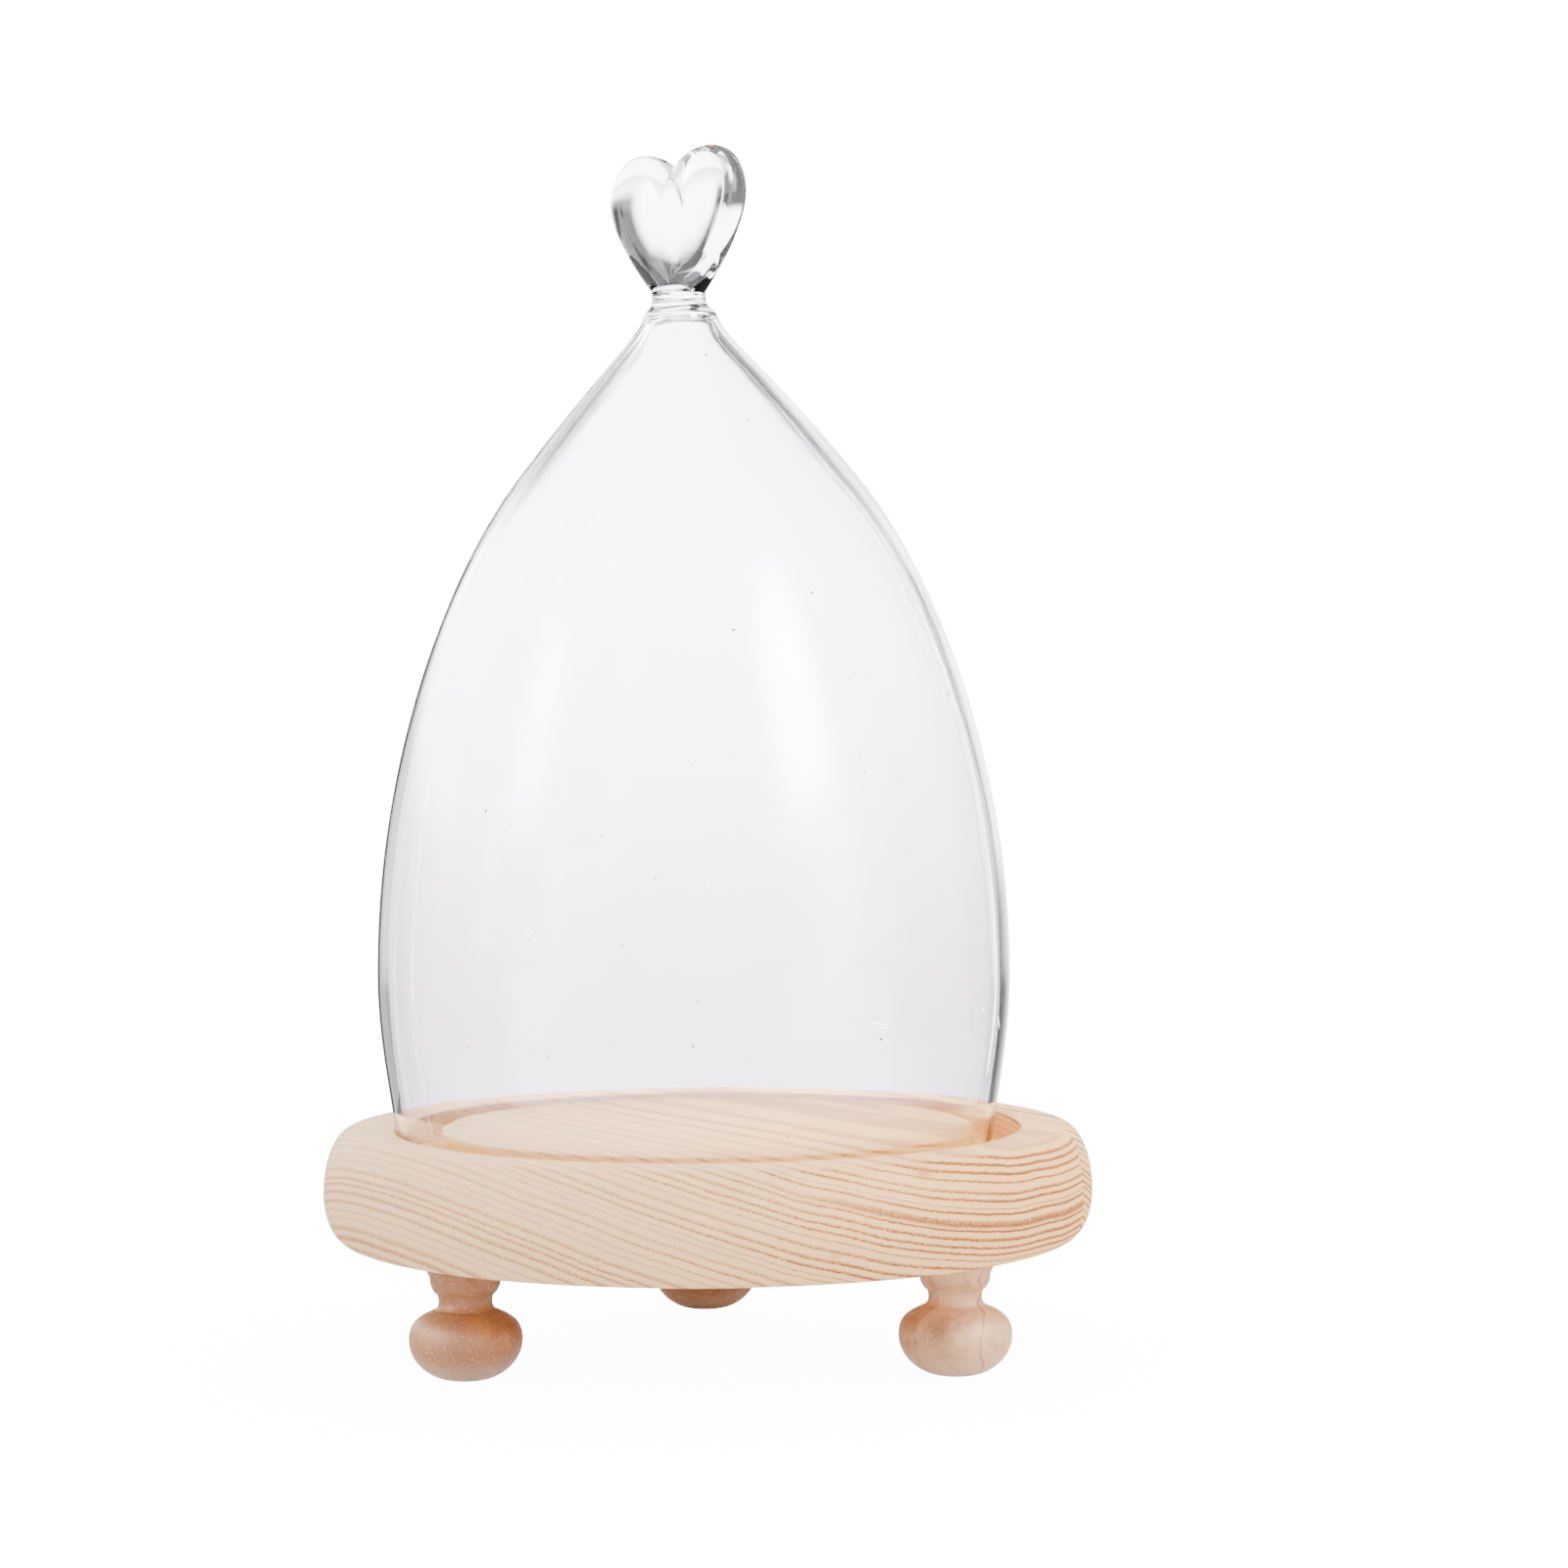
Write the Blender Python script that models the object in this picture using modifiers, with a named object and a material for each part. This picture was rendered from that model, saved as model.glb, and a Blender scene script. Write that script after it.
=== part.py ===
"""A glass bell jar with a heart knob, on a round pine base with a ring groove and three turned feet.

Metres, +Z up. The origin is on the floor, under the middle of the base. +X is to the viewer's right
and the viewer looks along +Y. The glass stands in the groove and lifts straight up.
"""

import math

import bmesh
import bpy
from mathutils import Matrix, Vector

# ---- glass dome: sizes of its own -------------------------------------------------------------
DOME_RADIUS = 0.04845  # outside, at the belly
DOME_HEIGHT = 0.1285  # rim to the flat of the neck
WALL = 0.0015
RIM_TUCK = 0.0032  # how far the rim draws in from the belly
RIM_SLOPE = math.radians(8.0)  # from upright, opening upwards
BELLY_HEIGHT = 0.0280  # above the rim
BELLY_PULL_DOWN = 0.0094  # handles of the outline at the belly
BELLY_PULL_UP = 0.0340
RIM_PULL = 0.0120
CONE_RADIUS = 0.0264  # where the belly's curve becomes the straight shoulder cone
CONE_DROP = 0.0254  # that point, below the flat of the neck
CONE_SLOPE = math.radians(37.7)  # from upright
CONE_PULL_DOWN = 0.0165
CONE_PULL_UP = 0.0220
NECK_RADIUS = 0.0059
NECK_PULL = 0.0030
CEILING = 0.0028  # glass between the inside of the dome and the flat of the neck

# ---- knob: a fused collar and a solid heart on a stem ------------------------------------------
COLLAR_RADIUS = 0.0053
COLLAR_HEIGHT = 0.0013
STEM_RADIUS = 0.0041
STEM_HEIGHT = 0.0030
HEART_WIDTH = 0.0236
HEART_HEIGHT = 0.0227
HEART_THICKNESS = 0.0098
HEART_CLEFT = 0.0046  # depth of the notch between the lobes, at the middle of the thickness
HEART_SINK = 0.0018  # how far the stem runs up into the heart
HEART_ROUNDNESS = 2.4  # power of the pillow's edge: 2 is round, more is flatter
HEART_TURN = math.radians(-35.0)  # about Z: the front of the heart looks left of the viewer
KNOB_LEAN = 0.0015  # the hot neck was drawn this far to one side
LEAN_POWER = 7.0

# ---- pine base ---------------------------------------------------------------------------------
BASE_THICKNESS = 0.0165
GROOVE_DEPTH = 0.0045
RIM_LAND = 0.0067  # flat top outside the groove
EDGE_ROUND = 0.0041  # how far the rounded edge bulges past the flat top
EDGE_LOWER_ROUND = 0.0038  # and past the flat underside
EDGE_WIDEST = 0.0070  # height of the widest line above the underside
SEAM_MARGIN = 0.0015  # wood between the groove and the glued seam
SEAM_TURN = math.radians(14.0)  # the seam faces this far round from +X

# ---- turned feet -------------------------------------------------------------------------------
FOOT_HEIGHT = 0.0184
FOOT_INSET = 0.0170  # foot's axis, in from the base's widest line
FOOT_TURN = math.radians(0.7)
BALL_RADIUS = 0.00845
BALL_LOW = 0.0058  # height of the ball's widest line
BALL_TOP = 0.0110  # height of the neck above it
FOOT_FLAT = 0.0027  # radius of the flat that stands on the floor
FOOT_NECK_RADIUS = 0.0043
BEAD_RADIUS = 0.0055
BEAD_RISE = 0.0027  # bead's middle above the neck
FLANGE_RADIUS = 0.0071
FLANGE_HEIGHT = 0.0012

# ---- dowels ------------------------------------------------------------------------------------
DOWEL_RADIUS = 0.0022
DOWEL_IN_BASE = 0.0070
DOWEL_IN_FOOT = 0.0060
DOWEL_CHAMFER = 0.0005

# ---- fits --------------------------------------------------------------------------------------
GAP = 0.0003  # between faces that touch
PLAY_INSIDE = 0.00295  # groove's inner wall to the inside of the glass, with the glass centred
PLAY_OUTSIDE = 0.0028  # outside of the rim to the groove's outer wall
REST_GAP = 0.0009  # what is left of the outer play, at the rim, on the side the glass is pushed to

# ---- sizes that follow from those --------------------------------------------------------------
RIM_RADIUS = DOME_RADIUS - RIM_TUCK
PLATEAU_RADIUS = RIM_RADIUS - WALL - PLAY_INSIDE
GROOVE_RADIUS = RIM_RADIUS + PLAY_OUTSIDE
TOP_RADIUS = GROOVE_RADIUS + RIM_LAND
BASE_RADIUS = TOP_RADIUS + EDGE_ROUND
UNDERSIDE_RADIUS = BASE_RADIUS - EDGE_LOWER_ROUND
BASE_TOP = FOOT_HEIGHT + BASE_THICKNESS
GROOVE_FLOOR = BASE_TOP - GROOVE_DEPTH
SEAM_DISTANCE = GROOVE_RADIUS + SEAM_MARGIN
FOOT_CIRCLE = BASE_RADIUS - FOOT_INSET
FOOT_TOP = FOOT_HEIGHT - GAP
RIM_Z = GROOVE_FLOOR + GAP
NECK_Z = RIM_Z + DOME_HEIGHT
COLLAR_Z = NECK_Z + GAP
STEM_Z = COLLAR_Z + COLLAR_HEIGHT + GAP
HEART_Z = STEM_Z + STEM_HEIGHT - HEART_SINK
DOME_X = REST_GAP - PLAY_OUTSIDE  # the glass is pushed towards -X as far as its play allows

FEET = {"foot_front_left": 210.0, "foot_front_right": 330.0, "foot_back": 90.0}  # degrees from +X
DOME_STEPS, BASE_STEPS, FOOT_STEPS, COLLAR_STEPS, DOWEL_STEPS = 40, 64, 24, 28, 16


def clear_scene():
    """Start from an empty scene."""
    for item in list(bpy.data.objects):
        bpy.data.objects.remove(item, do_unlink=True)


def new_collection(name):
    """Add a collection to the scene."""
    made = bpy.data.collections.new(name)
    bpy.context.scene.collection.children.link(made)
    return made


def wood(name, colour):
    """Bare, sanded wood."""
    return surface(name, colour, 0.62)


def surface(name, colour, roughness, transmission=0.0):
    """A Principled material."""
    made = bpy.data.materials.new(name)
    made.use_nodes = True
    shader = made.node_tree.nodes["Principled BSDF"]
    shader.inputs["Base Color"].default_value = (*colour, 1.0)
    shader.inputs["Roughness"].default_value = roughness
    shader.inputs["Metallic"].default_value = 0.0
    shader.inputs["Transmission Weight"].default_value = transmission
    return made


def add_object(name, mesh, collection, material=None):
    """Link a mesh as a named object with one material."""
    made = bpy.data.objects.new(name, mesh)
    collection.objects.link(made)
    if material:
        mesh.materials.append(material)
    return made


def bezier(start, pull_start, pull_end, end, count):
    """Points of one cubic arc, without its first point."""
    points = []
    for step in range(1, count + 1):
        t = step / count
        near, far = 1.0 - t, t
        points.append(
            tuple(
                near**3 * a + 3 * near**2 * far * b + 3 * near * far**2 * c + far**3 * d
                for a, b, c, d in zip(start, pull_start, pull_end, end)
            )
        )
    return points


def quarter(centre, radii, first, last, count):
    """Points of an elliptical arc between two angles in degrees, with both ends."""
    points = []
    for step in range(count + 1):
        angle = math.radians(first + (last - first) * step / count)
        points.append((centre[0] + radii[0] * math.cos(angle), centre[1] + radii[1] * math.sin(angle)))
    return points


def turned(name, profile, steps, collection, material=None):
    """A turned piece: the (radius, height) profile runs down its outer side, spun about Z."""
    mesh = bpy.data.meshes.new(name)
    points = [(radius, 0.0, height) for radius, height in profile]
    mesh.from_pydata(points, [(i, i + 1) for i in range(len(points) - 1)], [])
    made = add_object(name, mesh, collection, material)
    screw = made.modifiers.new("Turn", "SCREW")
    screw.axis = "Z"
    screw.steps = screw.render_steps = steps
    screw.use_merge_vertices = True
    screw.merge_threshold = 0.00001
    screw.use_smooth_shade = True
    return made


def as_cutter(piece):
    """Hide a helper from the render and from the build."""
    piece.hide_render = True
    piece.display_type = "WIRE"
    return piece


def cylinder_cutter(name, radius, low, high, place, cutters):
    """A closed cylinder from low to high, standing at (x, y)."""
    bpy.ops.mesh.primitive_cylinder_add(
        vertices=DOWEL_STEPS, radius=radius, depth=high - low, location=(*place, (low + high) / 2)
    )
    made = bpy.context.object
    made.name = name
    for collection in list(made.users_collection):
        collection.objects.unlink(made)
    cutters.objects.link(made)
    return as_cutter(made)


def cut(piece, cutter, label):
    """Take one shape away from a piece."""
    boolean = piece.modifiers.new(label, "BOOLEAN")
    boolean.operation = "DIFFERENCE"
    boolean.solver = "EXACT"
    boolean.object = cutter


def join(piece, other, label):
    """Unite a piece with a helper shape."""
    boolean = piece.modifiers.new(label, "BOOLEAN")
    boolean.operation = "UNION"
    boolean.solver = "EXACT"
    boolean.object = other


# ---- glass -------------------------------------------------------------------------------------
def lean(height):
    """Sideways draw of the glass at a height: nothing over the body, most at the knob."""
    rise = (height - RIM_Z) / (STEM_Z - RIM_Z)
    return -KNOB_LEAN * min(1.0, max(0.0, rise)) ** LEAN_POWER


def dome_outline(inset=0.0, top=0.0, parts=(3, 8, 7)):
    """Outer outline from the rim up to the neck, or the inner one, an inset inside it."""
    rim = (RIM_RADIUS, RIM_Z)
    belly = (DOME_RADIUS, RIM_Z + BELLY_HEIGHT)
    cone = (CONE_RADIUS, NECK_Z - CONE_DROP)
    neck = (NECK_RADIUS, NECK_Z)
    rim_pull = (rim[0] + RIM_PULL * math.sin(RIM_SLOPE), rim[1] + RIM_PULL * math.cos(RIM_SLOPE))
    along = (-math.sin(CONE_SLOPE), math.cos(CONE_SLOPE))
    cone_down = (cone[0] - CONE_PULL_DOWN * along[0], cone[1] - CONE_PULL_DOWN * along[1])
    cone_up = (cone[0] + CONE_PULL_UP * along[0], cone[1] + CONE_PULL_UP * along[1])
    low = bezier(rim, rim_pull, (belly[0], belly[1] - BELLY_PULL_DOWN), belly, parts[0])
    middle = bezier(belly, (belly[0], belly[1] + BELLY_PULL_UP), cone_down, cone, parts[1])
    high = bezier(cone, cone_up, (neck[0], neck[1] - NECK_PULL), neck, parts[2])
    outer = [rim, *low, *middle, *high]
    if not inset:
        return outer
    inner = [(rim[0] - inset, rim[1])]
    for before, here, after in zip(outer, outer[1:], outer[2:]):
        run, rise = after[0] - before[0], after[1] - before[1]
        length = math.hypot(run, rise)
        inner.append((here[0] - inset * rise / length, here[1] + inset * run / length))
    return [point for point in inner if point[1] < top and point[0] > 0.0]


def dome_profile():
    """Closed wall: down the outside, round the rim and up the inside to the ceiling."""
    ceiling = NECK_Z - CEILING
    outer = dome_outline()
    inner = dome_outline(inset=WALL, top=ceiling - WALL / 2)
    rounding = quarter((RIM_RADIUS - WALL / 2, RIM_Z + WALL / 2), (WALL / 2, WALL / 2), 0, -180, 4)
    above = WALL / 2 + RIM_Z
    outside = [point for point in reversed(outer) if point[1] > above]
    inside = [point for point in inner if point[1] > above]
    last = inside[-1]
    return [(0.0, NECK_Z), *outside, *rounding, *inside, (last[0] * 0.55, ceiling), (0.0, ceiling)]


def drawn_aside(piece):
    """Turn the piece into plain mesh, with the neck's sideways draw in its points."""
    bpy.context.view_layer.update()
    graph = bpy.context.evaluated_depsgraph_get()
    mesh = bpy.data.meshes.new_from_object(piece.evaluated_get(graph))
    for vertex in mesh.vertices:
        vertex.co.x += lean(vertex.co.z)
    piece.modifiers.clear()
    piece.data = mesh
    mesh.shade_smooth()
    return piece


def make_dome(parts, glass):
    """The blown shell, open at the bottom."""
    dome = drawn_aside(turned("glass_dome", dome_profile(), DOME_STEPS, parts, glass))
    dome.location.x = DOME_X
    return dome


def make_collar(parts, glass):
    """The ring of glass that joins the knob to the dome."""
    half = COLLAR_HEIGHT / 2
    bulge = quarter((COLLAR_RADIUS - half, COLLAR_Z + half), (half, half), 90, -90, 6)
    profile = [(0.0, COLLAR_Z + COLLAR_HEIGHT), *bulge, (0.0, COLLAR_Z)]
    collar = turned("neck_collar", profile, COLLAR_STEPS, parts, glass)
    collar.location.x = DOME_X + lean(COLLAR_Z + half)
    return collar


def heart_half():
    """Right half of the heart's outline, from the notch over the lobe and down to the stem."""
    top, half = HEART_HEIGHT, HEART_WIDTH / 2
    notch = (0.0, top - HEART_CLEFT)
    crown = (half * 0.52, top)
    side = (half, top * 0.69)
    foot = (STEM_RADIUS * 0.92, 0.0)
    lobe = bezier(notch, (half * 0.08, top - HEART_CLEFT * 0.4), (half * 0.26, top), crown, 4)
    cheek = bezier(crown, (half * 0.80, top), (half, top * 0.86), side, 5)
    flank = bezier(side, (half, top * 0.47), (half * 0.62, top * 0.19), foot, 6)
    return [notch, *lobe, *cheek, *flank]


def heart_mesh():
    """A pillow: smaller and smaller copies of the outline, front and back, loft into one body."""
    right = heart_half()
    outline = right + [(-across, height) for across, height in reversed(right[1:])]
    middle = (0.0, HEART_HEIGHT * 0.52)
    shares = [math.sin(math.radians(angle)) for angle in (15, 32, 48, 62, 75, 90)]
    rings = [(share, -1) for share in shares] + [(share, 1) for share in reversed(shares[:-1])]
    shape = bmesh.new()
    loops = []
    for share, side in rings:
        depth = HEART_THICKNESS / 2 * (1.0 - share**HEART_ROUNDNESS) ** (1.0 / HEART_ROUNDNESS)
        loop = []
        for across, height in outline:
            x = middle[0] + share * (across - middle[0])
            z = middle[1] + share * (height - middle[1])
            loop.append(shape.verts.new((x, side * depth, z)))
        loops.append(loop)
    count = len(outline)
    for lower, upper in zip(loops, loops[1:]):
        for i in range(count):
            j = (i + 1) % count
            shape.faces.new((lower[i], lower[j], upper[j], upper[i]))
    shape.faces.new(reversed(loops[0]))
    shape.faces.new(loops[-1])
    bmesh.ops.recalc_face_normals(shape, faces=shape.faces)
    mesh = bpy.data.meshes.new("heart_knob")
    shape.to_mesh(mesh)
    shape.free()
    mesh.shade_smooth()
    return mesh


def make_heart(parts, cutters, glass):
    """The solid heart, with its short stem united to it."""
    place = DOME_X + lean(STEM_Z)
    heart = add_object("heart_knob", heart_mesh(), parts, glass)
    heart.location = (place, 0.0, HEART_Z)
    heart.rotation_euler.z = HEART_TURN
    stem_top = HEART_Z + HEART_SINK
    stem = cylinder_cutter("stem_shape", STEM_RADIUS, STEM_Z, stem_top, (place, 0.0), cutters)
    join(heart, stem, "Stem")
    return heart


# ---- base --------------------------------------------------------------------------------------
def base_profile():
    """Plateau, groove, flat rim and rounded edge, from the top's middle to the underside's."""
    widest = FOOT_HEIGHT + EDGE_WIDEST
    upper = quarter((TOP_RADIUS, widest), (EDGE_ROUND, BASE_TOP - widest), 90, 0, 6)
    lower = quarter((UNDERSIDE_RADIUS, widest), (EDGE_LOWER_ROUND, EDGE_WIDEST), 0, -90, 5)[1:]
    return [
        (0.0, BASE_TOP),
        (PLATEAU_RADIUS, BASE_TOP),
        (PLATEAU_RADIUS, GROOVE_FLOOR),
        (GROOVE_RADIUS, GROOVE_FLOOR),
        (GROOVE_RADIUS, BASE_TOP),
        *upper,
        *lower,
        (0.0, FOOT_HEIGHT),
    ]


def half_space(name, side, cutters):
    """A box that covers all of the base on one side of the seam, a little more or less."""
    reach = 2 * BASE_RADIUS
    bpy.ops.mesh.primitive_cube_add(size=1.0)
    box = bpy.context.object
    box.name = name
    edge = SEAM_DISTANCE + side * GAP / 2
    facing = Matrix.Rotation(SEAM_TURN, 4, "Z")
    centre = Vector((edge - side * reach, 0.0, FOOT_HEIGHT + BASE_THICKNESS / 2))
    size = Matrix.Diagonal((2 * reach, 4 * reach, 2 * BASE_THICKNESS, 1.0))
    box.data.transform(facing @ Matrix.Translation(centre) @ size)
    for collection in list(box.users_collection):
        collection.objects.unlink(box)
    cutters.objects.link(box)
    return as_cutter(box)


def foot_places():
    """Name and (x, y) of each foot's axis."""
    places = {}
    for name, degrees in FEET.items():
        angle = math.radians(degrees) + FOOT_TURN
        places[name] = (FOOT_CIRCLE * math.cos(angle), FOOT_CIRCLE * math.sin(angle))
    return places


def make_base(parts, cutters, board_wood, stave_wood):
    """The round top, glued up from a wide board and a narrow stave, then turned as one."""
    board = turned("base_board", base_profile(), BASE_STEPS, parts, board_wood)
    stave = turned("base_edge_stave", base_profile(), BASE_STEPS, parts, stave_wood)
    cut(board, half_space("beyond_seam", -1, cutters), "Seam")
    cut(stave, half_space("before_seam", 1, cutters), "Seam")
    for name, place in foot_places().items():
        hole_top = FOOT_HEIGHT + DOWEL_IN_BASE + GAP
        hole = cylinder_cutter(
            f"{name}_base_hole", DOWEL_RADIUS + GAP, FOOT_HEIGHT - GAP, hole_top, place, cutters
        )
        cut(board, hole, f"Hole for {name}")
    return board, stave


# ---- feet --------------------------------------------------------------------------------------
def foot_profile():
    """Flange, bead, neck and ball, from the top's middle down to the flat on the floor."""
    flange_low = FOOT_TOP - FLANGE_HEIGHT
    bead = BALL_TOP + BEAD_RISE
    cove = (FLANGE_RADIUS - BEAD_RADIUS) * 0.5
    upper_ball = bezier(
        (FOOT_NECK_RADIUS, BALL_TOP),
        (FOOT_NECK_RADIUS + 0.0016, BALL_TOP - 0.0008),
        (BALL_RADIUS, BALL_LOW + 0.0034),
        (BALL_RADIUS, BALL_LOW),
        5,
    )
    lower_ball = bezier(
        (BALL_RADIUS, BALL_LOW),
        (BALL_RADIUS, BALL_LOW * 0.42),
        (FOOT_FLAT + 0.0024, 0.0003),
        (FOOT_FLAT, 0.0),
        5,
    )
    return [
        (0.0, FOOT_TOP),
        (FLANGE_RADIUS, FOOT_TOP),
        (FLANGE_RADIUS, flange_low),
        (BEAD_RADIUS + cove, (flange_low + bead) / 2 + 0.0003),
        (BEAD_RADIUS, bead),
        (FOOT_NECK_RADIUS, (bead + BALL_TOP) / 2 - 0.0002),
        (FOOT_NECK_RADIUS, BALL_TOP),
        *upper_ball,
        *lower_ball,
        (0.0, 0.0),
    ]


def dowel_profile():
    """A round pin with chamfered ends."""
    low, high = FOOT_TOP - DOWEL_IN_FOOT, FOOT_HEIGHT + DOWEL_IN_BASE
    return [
        (0.0, high),
        (DOWEL_RADIUS - DOWEL_CHAMFER, high),
        (DOWEL_RADIUS, high - DOWEL_CHAMFER),
        (DOWEL_RADIUS, low + DOWEL_CHAMFER),
        (DOWEL_RADIUS - DOWEL_CHAMFER, low),
        (0.0, low),
    ]


def make_feet(parts, cutters, foot_wood, dowel_wood):
    """Three turned feet, each on a dowel that is glued into it and into the base."""
    for name, place in foot_places().items():
        foot = turned(name, foot_profile(), FOOT_STEPS, parts, foot_wood)
        foot.location = (*place, 0.0)
        hole_low = FOOT_TOP - DOWEL_IN_FOOT - GAP
        hole = cylinder_cutter(
            f"{name}_hole", DOWEL_RADIUS + GAP, hole_low, FOOT_TOP + GAP, place, cutters
        )
        cut(foot, hole, "Dowel hole")
        dowel = turned(name.replace("foot", "dowel"), dowel_profile(), DOWEL_STEPS, parts, dowel_wood)
        dowel.location = (*place, 0.0)


def main():
    """Build the whole object."""
    clear_scene()
    parts = new_collection("bell_jar_dome")
    cutters = new_collection("cutters")
    clear_glass = (0.93, 0.94, 0.95)
    make_dome(parts, surface("dome_glass", clear_glass, 0.02, 1.0))
    make_collar(parts, surface("collar_glass", clear_glass, 0.02, 1.0))
    make_heart(parts, cutters, surface("knob_glass", clear_glass, 0.02, 1.0))
    make_base(parts, cutters, wood("pine_board", (0.80, 0.66, 0.48)), wood("pine_stave", (0.78, 0.60, 0.40)))
    make_feet(parts, cutters, wood("foot_beech", (0.60, 0.40, 0.27)), wood("dowel_beech", (0.66, 0.48, 0.32)))


if __name__ == "__main__":
    main()
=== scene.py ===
"""A blown glass bell jar with a heart knob, on a round pine base with three turned beech feet.

Metres, +Z up. The origin is on the floor under the middle of the base, +X is to the viewer's right
and the viewer looks along +Y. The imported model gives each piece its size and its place; this script
gives the pieces their fine shapes and finishes, and sets up a small studio round them.
"""

import math

import bmesh
import bpy
import numpy as np
from bpy.props import FloatProperty, FloatVectorProperty, IntProperty, PointerProperty
from mathutils import Matrix, Vector, noise


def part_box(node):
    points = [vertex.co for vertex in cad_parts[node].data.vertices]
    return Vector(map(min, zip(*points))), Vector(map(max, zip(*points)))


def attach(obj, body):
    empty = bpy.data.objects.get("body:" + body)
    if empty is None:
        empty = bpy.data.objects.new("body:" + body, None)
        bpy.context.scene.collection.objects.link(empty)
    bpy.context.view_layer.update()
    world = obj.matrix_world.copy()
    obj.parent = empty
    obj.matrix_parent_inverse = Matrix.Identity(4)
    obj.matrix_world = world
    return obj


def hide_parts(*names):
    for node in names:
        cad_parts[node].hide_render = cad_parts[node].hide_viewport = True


bl_info = {
    "name": "Bell Jar Dome",
    "version": (1, 0, 0),
    "blender": (4, 5, 0),
    "location": "3D View > Sidebar > Bell Jar",
    "description": "Builds a glass bell jar with a heart knob on a turned pine base",
    "category": "Add Mesh",
}

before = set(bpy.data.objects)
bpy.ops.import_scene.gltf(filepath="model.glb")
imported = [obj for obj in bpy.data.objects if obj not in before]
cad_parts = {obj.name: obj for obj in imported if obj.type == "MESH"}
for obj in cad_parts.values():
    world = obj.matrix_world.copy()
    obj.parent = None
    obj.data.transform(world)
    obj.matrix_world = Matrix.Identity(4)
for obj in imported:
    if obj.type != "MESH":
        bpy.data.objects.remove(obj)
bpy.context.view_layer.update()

MM = 0.001
FEET = ("foot_front_left", "foot_front_right", "foot_back")
DOWELS = ("dowel_front_left", "dowel_front_right", "dowel_back")
DOWEL_CLEARANCE = 0.3 * MM
SHARP_FOOT = math.radians(35)
SHARP_WOOD = math.radians(40)
SHARP_GLASS = math.radians(50)


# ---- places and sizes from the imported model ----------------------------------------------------
def middle_of(node):
    """(x, y) of the middle of a node's box."""
    low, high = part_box(node)
    return (low.x + high.x) / 2, (low.y + high.y) / 2


def radii_at(node, height):
    """Radii, small to large, of the node's corners at a height, on the side away from the seam."""
    found = set()
    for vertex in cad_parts[node].data.vertices:
        x, y, z = vertex.co
        if x < 0 and abs(z - height) < 0.02 * MM:
            found.add(round(math.hypot(x, y), 5))
    return sorted(found)


def seam_plane():
    """Direction that the glued seam faces, and its distance from the middle of the base."""
    corners = [vertex.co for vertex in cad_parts["base_edge_stave"].data.vertices]
    far = max(corners, key=lambda point: point.y)
    near = min(corners, key=lambda point: point.y)
    along = Vector((far.x - near.x, far.y - near.y)).normalized()
    facing = Vector((along.y, -along.x))
    return facing, facing.dot(Vector((near.x, near.y)))


# ---- settings ----------------------------------------------------------------------------------
def a_length(name, description, millimetres, **more):
    """A length, given here in millimetres."""
    return FloatProperty(name=name, description=description, default=millimetres * MM, unit="LENGTH", **more)


def an_angle(name, description, degrees):
    """An angle, given here in degrees."""
    return FloatProperty(name=name, description=description, default=math.radians(degrees), subtype="ANGLE")


def an_amount(name, description, default):
    """A plain number."""
    return FloatProperty(name=name, description=description, default=default)


def a_count(name, description, default, least):
    """A whole number, no smaller than the least."""
    return IntProperty(name=name, description=description, default=default, min=least)


def a_colour(name, description, default):
    """A colour."""
    return FloatVectorProperty(name=name, description=description, default=default, subtype="COLOR", size=3)


class GlassSettings(bpy.types.PropertyGroup):
    """Sizes of the blown bell and its heart knob."""

    wall: a_length("Wall", "Thickness of the glass over the body", 1.35)
    shoulder_wall: a_length("Shoulder wall", "Thickness of the glass near the neck", 2.0)
    rim_wall: a_length("Rim wall", "Thickness of the fire-polished rim", 1.55)
    rim_tuck: a_length("Rim tuck", "How far the rim draws in from the belly", 3.2)
    rim_slope: an_angle("Rim slope", "Lean of the wall at the rim", 8.0)
    belly_height: a_length("Belly height", "Widest line above the rim", 28.0)
    cone_radius: a_length("Cone radius", "Radius where the shoulder runs straight", 26.4)
    cone_drop: a_length("Cone drop", "That place, below the neck", 25.4)
    cone_slope: an_angle("Cone slope", "Lean of the straight shoulder", 37.7)
    neck_radius: a_length("Neck radius", "Radius at the foot of the collar", 5.9)
    stem_radius: a_length("Stem radius", "Radius of the knob's short stem", 4.05)
    ceiling_radius: a_length("Ceiling radius", "Flat of the hollow under the neck", 3.1)
    ceiling_depth: a_length("Ceiling depth", "Solid glass under the flat of the neck", 0.7)
    weld_bubble: a_length("Weld bubble", "Radius of the flat bubble where the knob was joined", 3.35)
    lean: a_length("Lean", "Sideways draw of the neck, made while it was hot", 1.5)
    waviness: a_length("Waviness", "Unevenness of the blown wall", 0.07, precision=6)
    heart_width: a_length("Heart width", "Across both lobes", 23.6)
    heart_height: a_length("Heart height", "From the stem to the top of a lobe", 22.7)
    heart_thickness: a_length("Heart thickness", "Front to back", 9.6)
    heart_cleft: a_length("Heart cleft", "Depth of the notch between the lobes", 5.1)
    heart_edge: an_amount("Heart edge", "Power of the pillow: higher is flatter in front", 2.7)
    heart_turn: an_angle("Heart turn", "Turn of the heart about the stem", -35.0)
    heart_skew: a_length("Heart skew", "How much lower the left lobe sits than the right one", 1.1)
    steps: a_count("Steps", "Facets round the bell", 192, 24)
    # Painted shade: the glass is darkened where it is seen edge on, in place of the dark outline that light gives
    # it.
    painted_edge_shade: a_colour("Edge tint", "Colour of the glass seen edge on", (0.33, 0.32, 0.36))
    body_tint: a_colour("Body tint", "Colour of the glass seen face on", (0.985, 0.985, 0.992))
    seed_density: an_amount("Seed density", "Tiny bubbles for each square metre of glass", 4200.0)
    seed_radius: a_length("Seed radius", "Largest bubble", 0.24, precision=6)


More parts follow.
